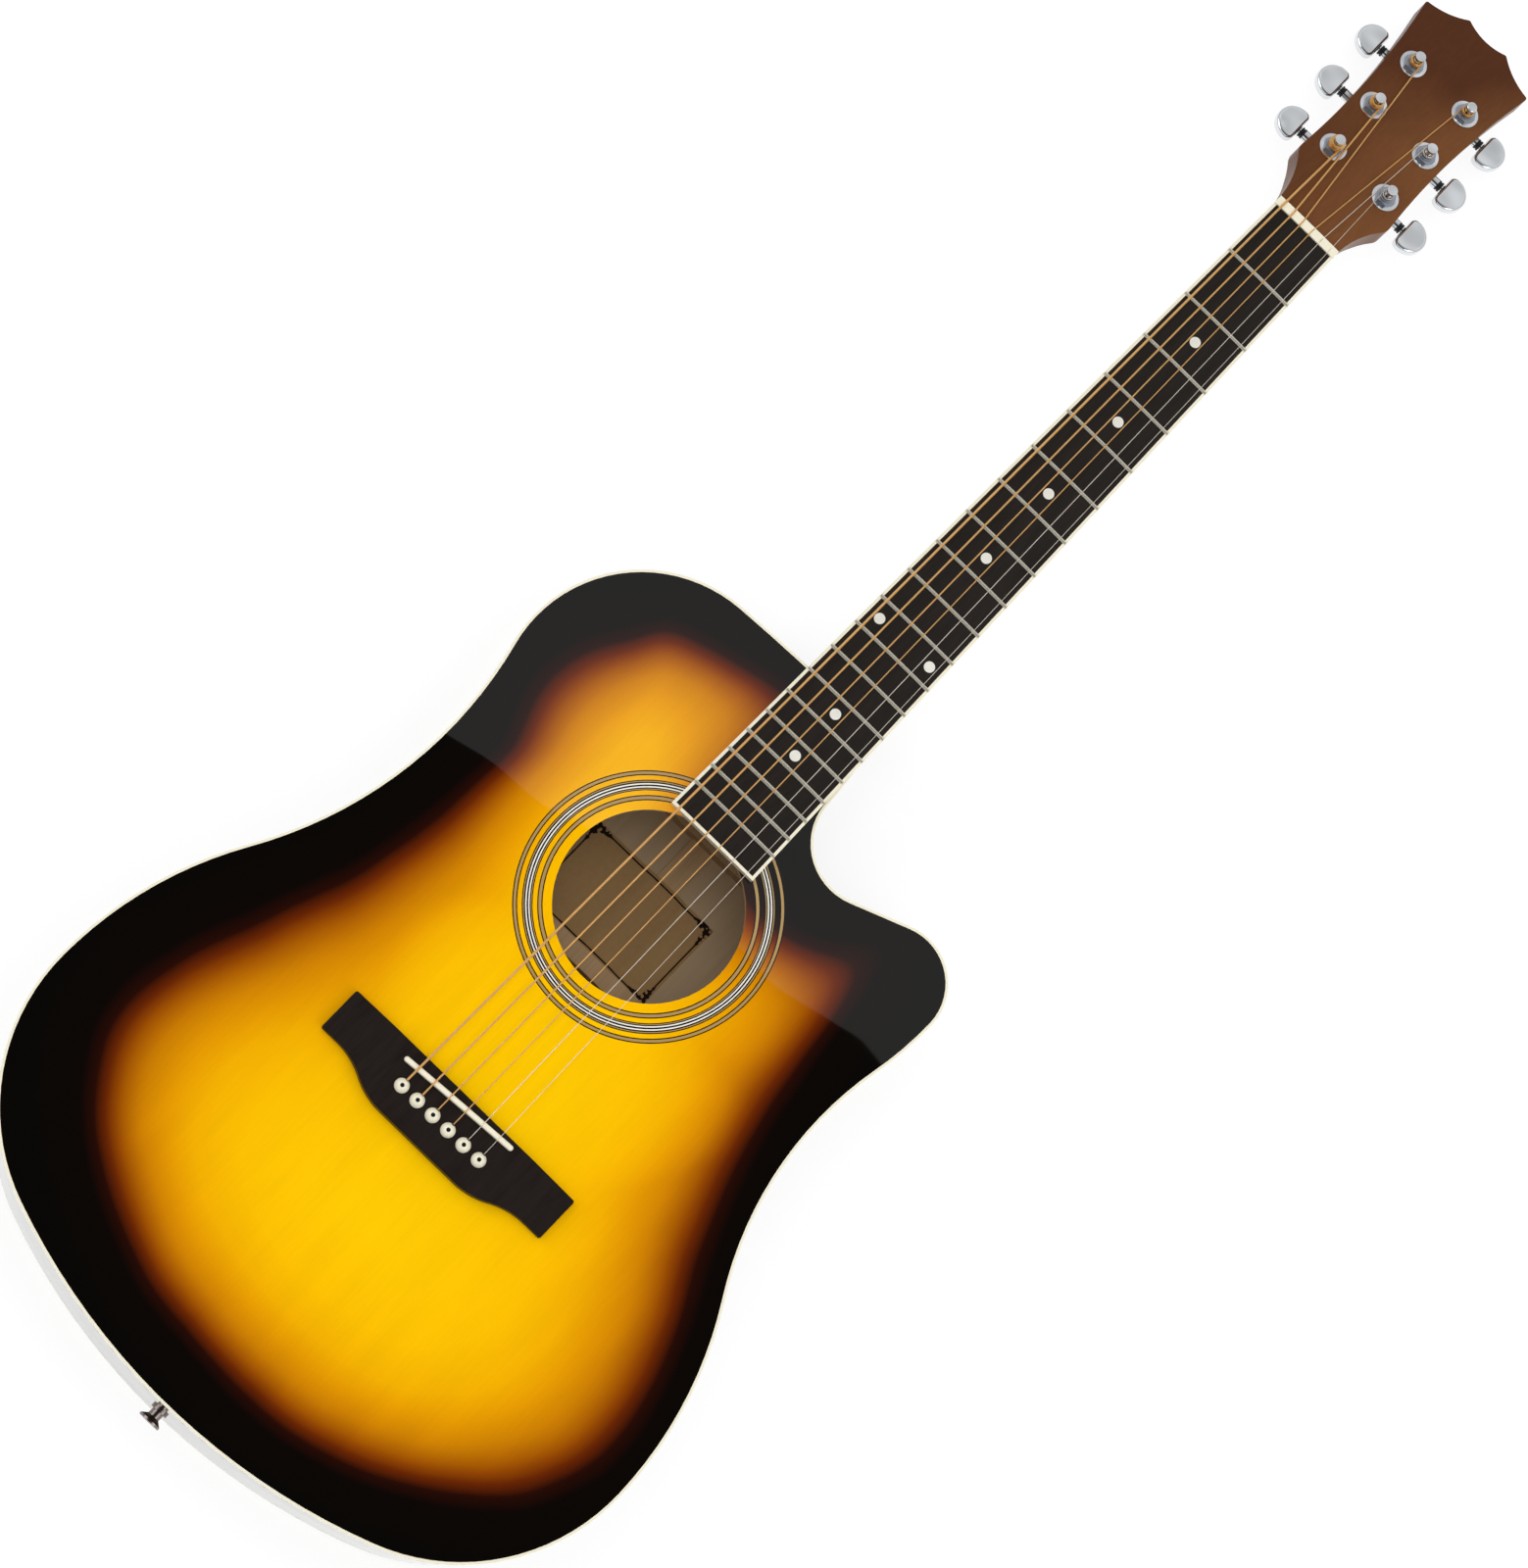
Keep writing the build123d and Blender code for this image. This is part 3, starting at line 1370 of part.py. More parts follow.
with BuildPart() as strap_button:
    with BuildSketch(Plane.XY.offset(-depth_at_tail / 2)):
        with BuildLine():
            tip, flange_end = tail_y + strap_screw_length, tail_y - strap_flange
            neck_end = flange_end - strap_neck_length
            cone_end = neck_end - strap_cone
            Polyline(
                (0, tip),
                (strap_screw_radius, tip),
                (strap_screw_radius, tail_y),
                (strap_flange_radius, tail_y),
                (strap_flange_radius, flange_end),
                (strap_neck_radius, flange_end),
                (strap_neck_radius, neck_end),
                (strap_rim_radius, cone_end),
                (strap_rim_radius, cone_end - strap_rim),
                (0, cone_end - strap_rim),
                close=True,
            )
        make_face()
    revolve(axis=Axis((0, tail_y, -depth_at_tail / 2), (0, 1, 0)))
keep("strap_button", strap_button.part)

# ---------------------------------------------------------------- laid on its back

resting = {name: back_plane.to_local_coords(part) for name, part in pieces.items()}
boxes = [part.bounding_box() for part in resting.values()]
head_end = max(box.max.Y for box in boxes)
tail_end = min(box.min.Y for box in boxes)
floor_z = min(box.min.Z for box in boxes)
to_rest = Pos(0, -(head_end + tail_end) / 2, -floor_z)

os.makedirs("parts", exist_ok=True)
for name, part in resting.items():
    placed = to_rest * part
    placed.label = name
    export_step(placed, f"parts/{name}.step")
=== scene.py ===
"""Finishes and small fittings for an acoustic guitar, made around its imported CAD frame."""

import json
import math
from typing import NamedTuple

import bpy
from bpy.props import FloatProperty, FloatVectorProperty, PointerProperty
from bpy.types import Operator, Panel, PropertyGroup
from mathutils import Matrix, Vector


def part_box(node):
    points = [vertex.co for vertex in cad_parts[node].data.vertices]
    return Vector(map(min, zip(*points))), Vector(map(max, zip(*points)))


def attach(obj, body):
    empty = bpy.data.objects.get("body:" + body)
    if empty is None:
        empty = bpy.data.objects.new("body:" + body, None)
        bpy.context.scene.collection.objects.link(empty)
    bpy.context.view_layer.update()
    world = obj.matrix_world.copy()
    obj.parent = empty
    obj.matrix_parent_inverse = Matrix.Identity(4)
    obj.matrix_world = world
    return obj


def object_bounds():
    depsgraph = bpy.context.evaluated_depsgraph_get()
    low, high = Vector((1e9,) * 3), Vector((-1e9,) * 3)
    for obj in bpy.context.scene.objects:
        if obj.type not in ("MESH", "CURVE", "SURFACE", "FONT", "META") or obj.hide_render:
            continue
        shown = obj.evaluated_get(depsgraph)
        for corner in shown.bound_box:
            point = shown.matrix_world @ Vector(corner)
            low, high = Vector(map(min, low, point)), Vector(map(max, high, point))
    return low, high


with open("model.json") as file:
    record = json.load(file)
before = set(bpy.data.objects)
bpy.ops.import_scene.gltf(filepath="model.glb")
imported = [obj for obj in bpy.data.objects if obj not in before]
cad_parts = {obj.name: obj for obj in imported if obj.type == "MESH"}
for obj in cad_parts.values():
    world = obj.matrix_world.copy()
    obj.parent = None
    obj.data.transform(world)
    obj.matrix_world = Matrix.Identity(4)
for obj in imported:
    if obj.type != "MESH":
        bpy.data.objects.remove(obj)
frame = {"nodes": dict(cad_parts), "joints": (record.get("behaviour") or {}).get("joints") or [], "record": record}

bl_info = {
    "name": "Acoustic Guitar Finishes",
    "version": (1, 0, 0),
    "blender": (4, 5, 0),
    "location": "View3D > Sidebar > Guitar",
    "description": "Lacquer, woods, metals and small fittings for an acoustic guitar",
    "category": "Object",
}

MM = 0.001
FLAT = 1000.0           # a scale that takes the depth out of a pattern
WINDING_PITCH = 0.5     # mm from ring to ring along a wound string
CAD_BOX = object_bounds()
STRINGS = range(1, 7)
PLAIN, WOUND = STRINGS[:2], STRINGS[2:]


# ---------------------------------------------------------------- places that come from the frame

def middle(node):
    """The middle of a CAD node's box."""
    low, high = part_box(node)
    return (low + high) / 2


def joint(name):
    """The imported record's joint of that name."""
    return next(j for j in frame["joints"] if j["name"] == name)


HOLE = middle("rosette_rings")
BODY_MIDDLE = Vector((0, HOLE.y, (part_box("back_plate")[0].z + HOLE.z) / 2))
HEAD_NORMAL = Vector(joint("post_1_spin")["axis"])
STRAP = next(mount for mount in frame["record"]["mounts"] if mount["name"] == "strap_button")
TAIL_AXIS = Vector(STRAP["axis"])
TOP_NORMAL = Vector((0, TAIL_AXIS.z, -TAIL_AXIS.y))


def linear(hex_colour):
    """An sRGB hex colour as the linear values that a socket takes."""
    channels = [int(hex_colour[i:i + 2], 16) / 255 for i in (1, 3, 5)]
    return tuple(c / 12.92 if c <= 0.04045 else ((c + 0.055) / 1.055) ** 2.4 for c in channels)


def solid(colour):
    """A colour with its alpha, for a colour socket."""
    return (*colour, 1.0)


# ---------------------------------------------------------------- sizes and colours

def colour_property(name, description, hex_colour):
    """A colour that a user can change, given as an sRGB hex code."""
    return FloatVectorProperty(
        name=name, description=description, subtype="COLOR", size=3, min=0, max=1,
        default=linear(hex_colour),
    )


def length_property(name, description, millimetres):
    """A length that a user can change, given in mm."""
    return FloatProperty(
        name=name, description=description, subtype="DISTANCE", unit="LENGTH",
        default=millimetres * MM, min=0,
    )


def light_property(name, description, radiance):
    """A strength of light that a user can change."""
    return FloatProperty(name=name, description=description, default=radiance, min=0)


class GuitarColours(PropertyGroup):
    """Colours of the woods, plastics and paper."""
    neck_wood: colour_property("Neck wood", "Stained neck and headstock", "#502910")
    neck_glow: colour_property("Neck glow", "Lighter stain towards the nut", "#7A4C28")
    dark_wood: colour_property("Dark wood", "Fingerboard", "#1E1814")
    bridge_wood: colour_property("Bridge wood", "Bridge", "#1D1512")
    side_wood: colour_property("Side wood", "Back and sides between the dark edges", "#5A2D16")
    inner_wood: colour_property("Inner wood", "Bare spruce inside the body", "#C6A47A")
    inner_back: colour_property("Inner back", "Bare inner face of the back and sides", "#C4AA88")
    cream: colour_property("Cream", "Bindings, nut and saddle", "#F1EAD2")
    black: colour_property("Black", "Black plastic and rubber", "#0B0B0C")
    bronze: colour_property("Bronze", "Wound strings", "#F0C07C")
    steel: colour_property("Steel", "Plain strings", "#EFE6D8")
    nickel: colour_property("Nickel", "Frets", "#F0EAD8")
    chrome: colour_property("Chrome", "Tuners", "#E2E5E8")
    paper: colour_property("Paper", "Label inside the body", "#B08D60")
    ink: colour_property("Ink", "Border of the label", "#241610")


class GuitarSizes(PropertyGroup):
    """Sizes of the pieces that this script models."""
    label_width: length_property("Label width", "Paper label across the body", 85.5)
    label_length: length_property("Label length", "Paper label along the body", 55.5)
    label_border: length_property("Border inset", "From the paper's edge to its printed line", 2.0)
    pin_dot: length_property("Pin dot", "Across the inlaid dot of a bridge pin", 2.3)
    recess: length_property("Screw recess", "Across the cross recess of a tuner screw", 2.2)


class GuitarStage(PropertyGroup):
    """Camera and light."""
    lens: FloatProperty(name="Lens", description="Focal length in mm", default=120.82, min=1)
    key: light_property("Soft box", "Light of the large soft box", 0.46)
    fill: light_property("Fill", "Light of the two side panels", 1.9)
    top: light_property("Overhead", "Light straight down on the top", 3.6)
    room: light_property("Room", "Even light from all round", 0.46)


# ---------------------------------------------------------------- material helpers

def add(tree, kind, inputs=None, **fields):
    """Adds a shader node, sets its fields, and gives each input a value or a link."""
    made = tree.nodes.new("ShaderNode" + kind)
    for field, value in fields.items():
        setattr(made, field, value)
    for socket, value in (inputs or {}).items():
        if isinstance(value, bpy.types.NodeSocket):
            tree.links.new(value, made.inputs[socket])
        else:
            made.inputs[socket].default_value = value
    return made


def calculated(tree, operation, *values):
    """The result of a Math operation on numbers or sockets."""
    return add(tree, "Math", dict(enumerate(values)), operation=operation).outputs[0]


def ramp_stops(node, stops, interpolation="LINEAR"):
    """Fills a colour ramp from (place, linear colour) pairs."""
    ramp = node.color_ramp
    ramp.interpolation = interpolation
    while len(ramp.elements) > 1:
        ramp.elements.remove(ramp.elements[-1])
    ramp.elements[0].position = stops[0][0]
    ramp.elements[0].color = solid(stops[0][1])
    for place, colour in stops[1:]:
        ramp.elements.new(place).color = solid(colour)


def new_material(name):
    """An empty material with its tree and its Principled shader."""
    material = bpy.data.materials.new(name)
    material.use_nodes = True
    tree = material.node_tree
    return material, tree, tree.nodes["Principled BSDF"]


def set_shader(shader, **values):
    """Sets the shader's own sockets, with _ for a space in their names."""
    for name, value in values.items():
        shader.inputs[name.replace("_", " ")].default_value = value


def grain(tree, across_mm, along_mm, strength, detail=3.0):
    """Streaks along the strings: a factor round 1 from noise stretched along Y."""
    place = add(tree, "TexCoord").outputs["Object"]
    scale = (1000 / across_mm, 1000 / along_mm, 1000 / across_mm)
    stretched = add(tree, "Mapping", {"Vector": place, "Scale": scale})
    noise = add(tree, "TexNoise", {"Vector": stretched.outputs[0], "Scale": 1.0, "Detail": detail})
    spread = add(tree, "MapRange", {
        "Value": noise.outputs["Fac"], "From Min": 0.3, "From Max": 0.7,
        "To Min": 1 - strength, "To Max": 1 + strength,
    })
    return spread.outputs[0], noise.outputs["Fac"]


def as_input(colour):
    """What a colour socket takes: another socket as it is, or a linear colour with its alpha."""
    return colour if isinstance(colour, bpy.types.NodeSocket) else solid(colour)


def toned(tree, colour, factor):
    """The colour multiplied by a factor."""
    tone = add(tree, "CombineColor", {"Red": factor, "Green": factor, "Blue": factor})
    mix = add(tree, "Mix", {"Factor": 1.0, 6: as_input(colour), 7: tone.outputs[0]},
              data_type="RGBA", blend_type="MULTIPLY")
    return mix.outputs[2]


def mixed(tree, factor, first, second):
    """A colour between two, each a linear colour or a socket."""
    mix = add(tree, "Mix", {"Factor": factor, 6: as_input(first), 7: as_input(second)},
              data_type="RGBA")
    return mix.outputs[2]


def bumped(tree, shader, height, depth_mm, socket="Normal"):
    """Gives the shader, or just its coat, a bump of that depth."""
    bump = add(tree, "Bump", {"Height": height, "Distance": depth_mm * MM, "Strength": 1.0})
    tree.links.new(bump.outputs[0], shader.inputs[socket])


# ---------------------------------------------------------------- materials

# The sprayed rings of the top: from the light middle out to the black edge, in mm of the field.
BURST = (
    (-40, "#FEC803"), (0, "#FCBF02"), (21, "#F3AF02"), (33, "#E59A02"), (45, "#CD8003"),
    (53, "#AC6003"), (58, "#8E4403"), (63, "#662504"), (69, "#260B05"), (76, "#0C0705"),
    (100, "#090705"),
)


class Oval(NamedTuple):
    """One oval of the sprayed field, in mm: its middle from the sound hole's centre, its half width
    and half length, how it joins the ovals before it and over what width, what is added to the
    distance from its edge, and -1 where its inside is the dark side."""
    middle: tuple
    half_size: tuple
    join: str = ""
    blend: float = 0.0
    offset: float = 0.0
    side: int = 1


BURST_OVALS = (
    Oval((6, -226), (35, 18.5)),                                       # lower bout
    Oval((0, 38), (51.4, 84.4), "SMOOTH_MIN", 310.5),                  # upper bout
    Oval((21.8, -172.7), (16, 16), "SMOOTH_MIN", 255.6),               # waist
    Oval((11.5, -96.8), (149.9, 139.8), "SMOOTH_MAX", 18.0, -24.0),    # shoulders, dark outside
    Oval((8.8, -109.6), (122.2, 176.6), "SMOOTH_MIN", 2.3, 75.8),      # horn
    Oval((-29, 50), (82, 66), "SMOOTH_MIN", 14.0, 61.2),               # bass shoulder's round
    Oval((50.2, 91.6), (69.3, 69.3), "SMOOTH_MAX", 56.9, -54.3, -1),   # cutaway, dark inside
)
BURST_DRIFT = 1.4    # mm that the hand-held spray strays to either side


def oval_distance(tree, place, oval):
    """How far in mm a point lies from where the oval's field is 0, and less than 0 inside."""
    half_width, half_length = oval.half_size
    local = add(tree, "Mapping", {
        "Vector": place, "Location": HOLE + Vector((*oval.middle, 0)) * MM,
        "Scale": (half_width * MM, half_length * MM, FLAT),
    }, vector_type="TEXTURE")
    radius = add(tree, "VectorMath", {0: local.outputs[0]}, operation="LENGTH").outputs["Value"]
    mean = oval.side * math.sqrt(half_width * half_length)
    return calculated(tree, "MULTIPLY_ADD", radius, mean, oval.side * oval.offset - mean)


def burst_field(tree):
    """The distance in mm that drives the sprayed colours: the ovals, joined one after another."""
    place = add(tree, "TexCoord").outputs["Object"]
    first, *others = BURST_OVALS
    field = oval_distance(tree, place, first)
    for oval in others:
        field = calculated(tree, oval.join, field, oval_distance(tree, place, oval), oval.blend)
    # the spray wanders over some 70 mm
    cloud = add(tree, "TexNoise", {"Vector": place, "Scale": 14.0, "Detail": 1.0})
    drift = add(tree, "MapRange", {
        "Value": cloud.outputs["Fac"], "From Min": 0.3, "From Max": 0.7,
        "To Min": -BURST_DRIFT, "To Max": BURST_DRIFT,
    })
    return calculated(tree, "ADD", field, drift.outputs[0])


def burst_colour(tree, stops):
    """Sprayed colour rings, from (field distance in mm, hex) pairs."""
    low, high = stops[0][0], stops[-1][0]
    spread = add(tree, "MapRange", {"Value": burst_field(tree), "From Min": low, "From Max": high})
    rings = add(tree, "ValToRGB", {"Fac": spread.outputs[0]})
    ramp_stops(rings, [((mm - low) / (high - low), linear(code)) for mm, code in stops])
    return rings.outputs[0]


def faces_inward(tree):
    """1 on the faces that look into the body: up on the back, down on the top, in on the sides."""
    at = add(tree, "TexCoord").outputs
    away = add(tree, "VectorMath", {0: at["Object"], 1: BODY_MIDDLE}, operation="SUBTRACT")
    outward = add(tree, "VectorMath", {0: away.outputs[0], 1: at["Normal"]},
                  operation="DOT_PRODUCT")
    return calculated(tree, "LESS_THAN", outward.outputs["Value"], 0.0)


def clear_lacquer(tree, shader):
    """A thick clear coat, flatted and buffed: a sharp mirror with waves in it, 90 mm long and
    0.6 mm high."""
    place = add(tree, "TexCoord").outputs["Object"]
    waves = add(tree, "TexNoise", {"Vector": place, "Scale": 1000 / 90, "Detail": 1.0})
    bumped(tree, shader, waves.outputs["Fac"], 0.6, "Coat Normal")
    set_shader(shader, Coat_Weight=1.0, Coat_Roughness=0.015, Coat_IOR=1.5, Specular_IOR_Level=0.0)


def lacquered_spruce(colours):
    """Spruce, sprayed in rings and polished under clear lacquer; bare on its underside.
    The eye sees a deep mirror gloss over faint lengthwise grain."""
    material, tree, shader = new_material("lacquered_spruce_sprayed_sunburst")
    streaks, _ = grain(tree, 1.4, 90, 0.018)
    mottle, _ = grain(tree, 14, 70, 0.025, 1.0)
    sprayed = toned(tree, burst_colour(tree, BURST), calculated(tree, "MULTIPLY", streaks, mottle))
    bare = toned(tree, colours.inner_wood, streaks)
    tree.links.new(mixed(tree, faces_inward(tree), sprayed, bare), shader.inputs["Base Color"])
    set_shader(shader, Roughness=0.42)
    clear_lacquer(tree, shader)
    return material


def lacquered_sapele(colours):
    """Sapele, stained dark and sprayed black to its edges under clear lacquer; bare inside.
    The eye sees ribbon grain glowing brown in the middle of a black mirror."""
    material, tree, shader = new_material("lacquered_sapele_sprayed_edges")
    streaks, _ = grain(tree, 2.2, 60, 0.25)
    ribbon, _ = grain(tree, 9, 140, 0.2, 1.0)
    figured = toned(tree, colours.side_wood, calculated(tree, "MULTIPLY", streaks, ribbon))
    brown, black = 20.0, 72.0      # mm of the burst's field, where each is pure
    shade = add(tree, "MapRange", {
        "Value": burst_field(tree), "From Min": brown, "From Max": black,
    }, interpolation_type="SMOOTHSTEP")
    sprayed = mixed(tree, shade.outputs[0], figured, linear("#080504"))
    faint, _ = grain(tree, 3.5, 90, 0.05)
    bare = toned(tree, colours.inner_back, faint)
    tree.links.new(mixed(tree, faces_inward(tree), sprayed, bare), shader.inputs["Base Color"])
    set_shader(shader, Roughness=0.4)
    clear_lacquer(tree, shader)
    return material


def glowing(tree, colour, glow):
    """A colour that gives way to its glow in soft clouds: not at the headstock's tip, by about
    half from its middle on, and more so on the treble side."""
    low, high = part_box("headstock_veneer")
    place = add(tree, "SeparateXYZ", {0: add(tree, "TexCoord").outputs["Object"]}).outputs
    from_tip = add(tree, "MapRange", {
        "Value": place[1], "From Min": high.y, "From Max": (low.y + high.y) / 2, "To Max": 0.55,
    })
    to_treble = calculated(tree, "MULTIPLY_ADD", place[0], 0.3 / high.x, from_tip.outputs[0])
    _, cloud = grain(tree, 60, 90, 0.1, 1.0)
    clouded = calculated(tree, "ADD", to_treble, calculated(tree, "MULTIPLY_ADD", cloud, 1.6, -0.8))
    return mixed(tree, add(tree, "Clamp", {"Value": clouded}).outputs[0], colour, glow)


def wood(name, colour, across_mm, along_mm, strength, roughness, pore_depth, glow=None, **values):
    """A wood with streaks along the strings and open pores of that depth in mm. A second colour,
    its glow, shows through towards the nut."""
    material, tree, shader = new_material(name)
    streaks, fine = grain(tree, across_mm, along_mm, strength)
    broad, _ = grain(tree, across_mm * 7, along_mm * 2.5, strength * 0.7, 1.0)
    ground = colour if glow is None else glowing(tree, colour, glow)
    both = calculated(tree, "MULTIPLY", streaks, broad)
    tree.links.new(toned(tree, ground, both), shader.inputs["Base Color"])
    set_shader(shader, Roughness=roughness, **values)
    bumped(tree, shader, fine, pore_depth)
    return material


def moulded(name, colour, roughness, mottle=0.02, **values):
    """A moulded plastic: one even colour with a faint cloud and the ripple of its mould, both
    4 mm across."""
    material, tree, shader = new_material(name)
    place = add(tree, "TexCoord").outputs["Object"]
    cloud = add(tree, "TexNoise", {"Vector": place, "Scale": 1000 / 4, "Detail": 2.0})
    spread = add(tree, "MapRange", {
        "Value": cloud.outputs["Fac"], "To Min": 1 - 2 * mottle, "To Max": 1 + mottle,
    })
    tree.links.new(toned(tree, colour, spread.outputs[0]), shader.inputs["Base Color"])
    set_shader(shader, Roughness=roughness, **values)
    bumped(tree, shader, cloud.outputs["Fac"], 0.01)
    return material


POLISH_SHIFT = 0.04


def metal(name, colour, roughness, swell=0.0):
    """A bare or plated metal, whose polishing marks are 0.4 mm long and shift its roughness.
    A swell, in mm, is how far a cast skin rises and falls every 14 mm: its mirror shades softly."""
    material, tree, shader = new_material(name)
    place = add(tree, "TexCoord").outputs["Object"]
    marks = add(tree, "TexNoise", {"Vector": place, "Scale": 1000 / 0.4, "Detail": 2.0})
    spread = add(tree, "MapRange", {
        "Value": marks.outputs["Fac"],
        "To Min": roughness - POLISH_SHIFT, "To Max": roughness + POLISH_SHIFT,
    })
    tree.links.new(spread.outputs[0], shader.inputs["Roughness"])
    set_shader(shader, Metallic=1.0, Base_Color=solid(colour))
    if swell:
        skin = add(tree, "TexNoise", {"Vector": place, "Scale": 1000 / 14, "Detail": 0.0})
        bumped(tree, shader, skin.outputs["Fac"], swell)
    return material


def wound_bronze(colours):
    """Bronze wire wound round a steel core: the eye sees fine rings across the string, drawn as painted shade
    between the turns and painted highlight on them.
    The real winding is too fine to show, so it is drawn at WINDING_PITCH."""
    material, tree, shader = new_material("bronze_wire_wound_ring_shade")
    place = add(tree, "TexCoord").outputs["Object"]
    # the node's bands repeat every 2 pi / 20 of its scaled length
    bands = math.pi * 2 / 20 / (WINDING_PITCH * MM)
    rings = add(tree, "TexWave", {"Vector": place, "Scale": bands}, bands_direction="Y")
    # painted shade and highlight: each ring darker in its groove and lighter on its crest
    shade = add(tree, "MapRange", {"Value": rings.outputs["Fac"], "To Min": 0.78, "To Max": 1.08})
    tree.links.new(toned(tree, colours.bronze, shade.outputs[0]), shader.inputs["Base Color"])
    set_shader(shader, Metallic=1.0, Roughness=0.5)
    bumped(tree, shader, rings.outputs["Fac"], 0.02)
    return material


# Inlaid rings round the sound hole: outer radius in mm and colour of each. Where the colour is
# None the sprayed top shows between them.
TAN, CREAM_LINE, BLACK_LINE = "#AE8F5C", "#F4F1E8", "#15100A"
ROSETTE_INNER = 54.0
ROSETTE = (
    (55.1, None), (55.65, BLACK_LINE), (57.25, TAN), (57.8, BLACK_LINE), (60.2, None),
    (60.75, BLACK_LINE), (61.15, TAN), (61.75, BLACK_LINE), (62.45, CREAM_LINE), (63.3, BLACK_LINE),
    (63.95, CREAM_LINE), (64.75, BLACK_LINE), (65.25, TAN), (65.8, BLACK_LINE), (68.15, None),
    (68.75, BLACK_LINE), (70.15, TAN), (70.7, BLACK_LINE), (73.0, None),
)


def rosette_inlay():
    """Celluloid rings let into the top and lacquered over: crisp black, cream and tan lines."""
    material, tree, shader = new_material("celluloid_rings_lacquered")
    place = add(tree, "TexCoord").outputs["Object"]
    local = add(tree, "Mapping", {
        "Vector": place, "Location": HOLE, "Scale": (MM, MM * TOP_NORMAL.z, FLAT),
    }, vector_type="TEXTURE")
    radius = add(tree, "VectorMath", {0: local.outputs[0]}, operation="LENGTH").outputs["Value"]
    outer = ROSETTE[-1][0]
    spread = add(tree, "MapRange", {"Value": radius, "From Min": ROSETTE_INNER, "From Max": outer})
    edges = [ROSETTE_INNER] + [edge for edge, _ in ROSETTE[:-1]]
    starts = [(edge - ROSETTE_INNER) / (outer - ROSETTE_INNER) for edge in edges]
    codes = [code for _, code in ROSETTE]
    rings = add(tree, "ValToRGB", {"Fac": spread.outputs[0]})
    ramp_stops(rings, [(at, linear(code or TAN)) for at, code in zip(starts, codes)], "CONSTANT")
    inlaid = add(tree, "ValToRGB", {"Fac": spread.outputs[0]})
    ramp_stops(inlaid, [(at, (float(code is not None),) * 3) for at, code in zip(starts, codes)],
               "CONSTANT")
    ground = burst_colour(tree, BURST)
    inlay = mixed(tree, inlaid.outputs[0], ground, rings.outputs[0])
    tree.links.new(inlay, shader.inputs["Base Color"])
    set_shader(shader, Roughness=0.4)
    clear_lacquer(tree, shader)
    return material


def printed_paper(colours, low, high, inset):
    """Uncoated paper with one printed frame between two corners: a dark line 0.9 mm wide that
    swells to small scrolls in its corners, in full for 6 mm and gone after 13 mm."""
    material, tree, shader = new_material("uncoated_paper_printed_frame")
    at = add(tree, "TexCoord").outputs["Object"]
    place = add(tree, "SeparateXYZ", {0: at}).outputs
    from_edge = []
    for axis in (0, 1):
        away = calculated(tree, "SUBTRACT", place[axis], (low[axis] + high[axis]) / 2)
        size = calculated(tree, "ABSOLUTE", away)
        from_edge.append(calculated(tree, "SUBTRACT", (high[axis] - low[axis]) / 2, size))
    edge = calculated(tree, "MINIMUM", *from_edge)
    corner = add(tree, "MapRange", {
        "Value": calculated(tree, "MAXIMUM", *from_edge), "From Min": 6 * MM, "From Max": 13 * MM,
        "To Min": 1.0, "To Max": 0.0,
    })
    # the scrolls are cells 2.6 mm across, each fuller away from its middle
    scrolls = add(tree, "TexVoronoi", {"Vector": at, "Scale": 1000 / 2.6, "Randomness": 0.7})
    curl = add(tree, "MapRange", {
        "Value": scrolls.outputs["Distance"], "From Min": 0.15, "From Max": 0.6,
        "To Min": -0.6 * MM, "To Max": 1.9 * MM,
    })
    half_line = calculated(tree, "MULTIPLY_ADD", curl.outputs[0], corner.outputs[0], 0.9 * MM / 2)
    near = calculated(tree, "ABSOLUTE", calculated(tree, "SUBTRACT", edge, inset))
    line = calculated(tree, "LESS_THAN", near, half_line)
    _, cloud = grain(tree, 3.0, 3.0, 0.05)
    tint = add(tree, "MapRange", {"Value": cloud, "To Min": 0.9, "To Max": 1.08}).outputs[0]
    sheet = toned(tree, colours.paper, tint)
    tree.links.new(mixed(tree, line, sheet, colours.ink), shader.inputs["Base Color"])
    set_shader(shader, Roughness=0.85, Specular_IOR_Level=0.25)
    return material


def numbered(kind, numbers=STRINGS):
    """The names of a kind of CAD node that each string, or each of some, has one of."""
    return [f"{kind}_{number}" for number in numbers]


def dress(material, *names):
    """Gives CAD nodes a material."""
    for name in names:
        node = frame["nodes"][name]
        for slot in node.material_slots:
            slot.material = material


# ---------------------------------------------------------------- modelling helpers

def start_clear():
    """Nothing selected, nothing in edit mode."""
    if bpy.context.object and bpy.context.object.mode != "OBJECT":
        bpy.ops.object.mode_set(mode="OBJECT")
    bpy.ops.object.select_all(action="DESELECT")


def select_points(piece, test):
    """Goes into edit mode with just the points selected whose place passes the test."""
    bpy.ops.object.mode_set(mode="EDIT")
    bpy.ops.mesh.select_mode(type="VERT")
    bpy.ops.mesh.select_all(action="DESELECT")
    bpy.ops.object.mode_set(mode="OBJECT")
    for point in piece.data.vertices:
        point.select = test(point.co)
    bpy.ops.object.mode_set(mode="EDIT")


def apply_modifier(piece, kind, **settings):
    """Adds a modifier with its settings and applies it."""
    modifier = piece.modifiers.new(kind.lower(), kind)
    for name, value in settings.items():
        setattr(modifier, name, value)
    bpy.ops.object.modifier_apply(modifier=modifier.name)


def set_down(piece, place, axis=(0, 0, 1)):
    """Turns a piece's Z to an axis, moves its origin to a place, and puts both in its mesh."""
    start_clear()
    piece.select_set(True)
    bpy.context.view_layer.objects.active = piece
    piece.rotation_euler = Vector((0, 0, 1)).rotation_difference(Vector(axis)).to_euler()
    piece.location = place
    bpy.ops.object.transform_apply(location=True, rotation=True, scale=True)


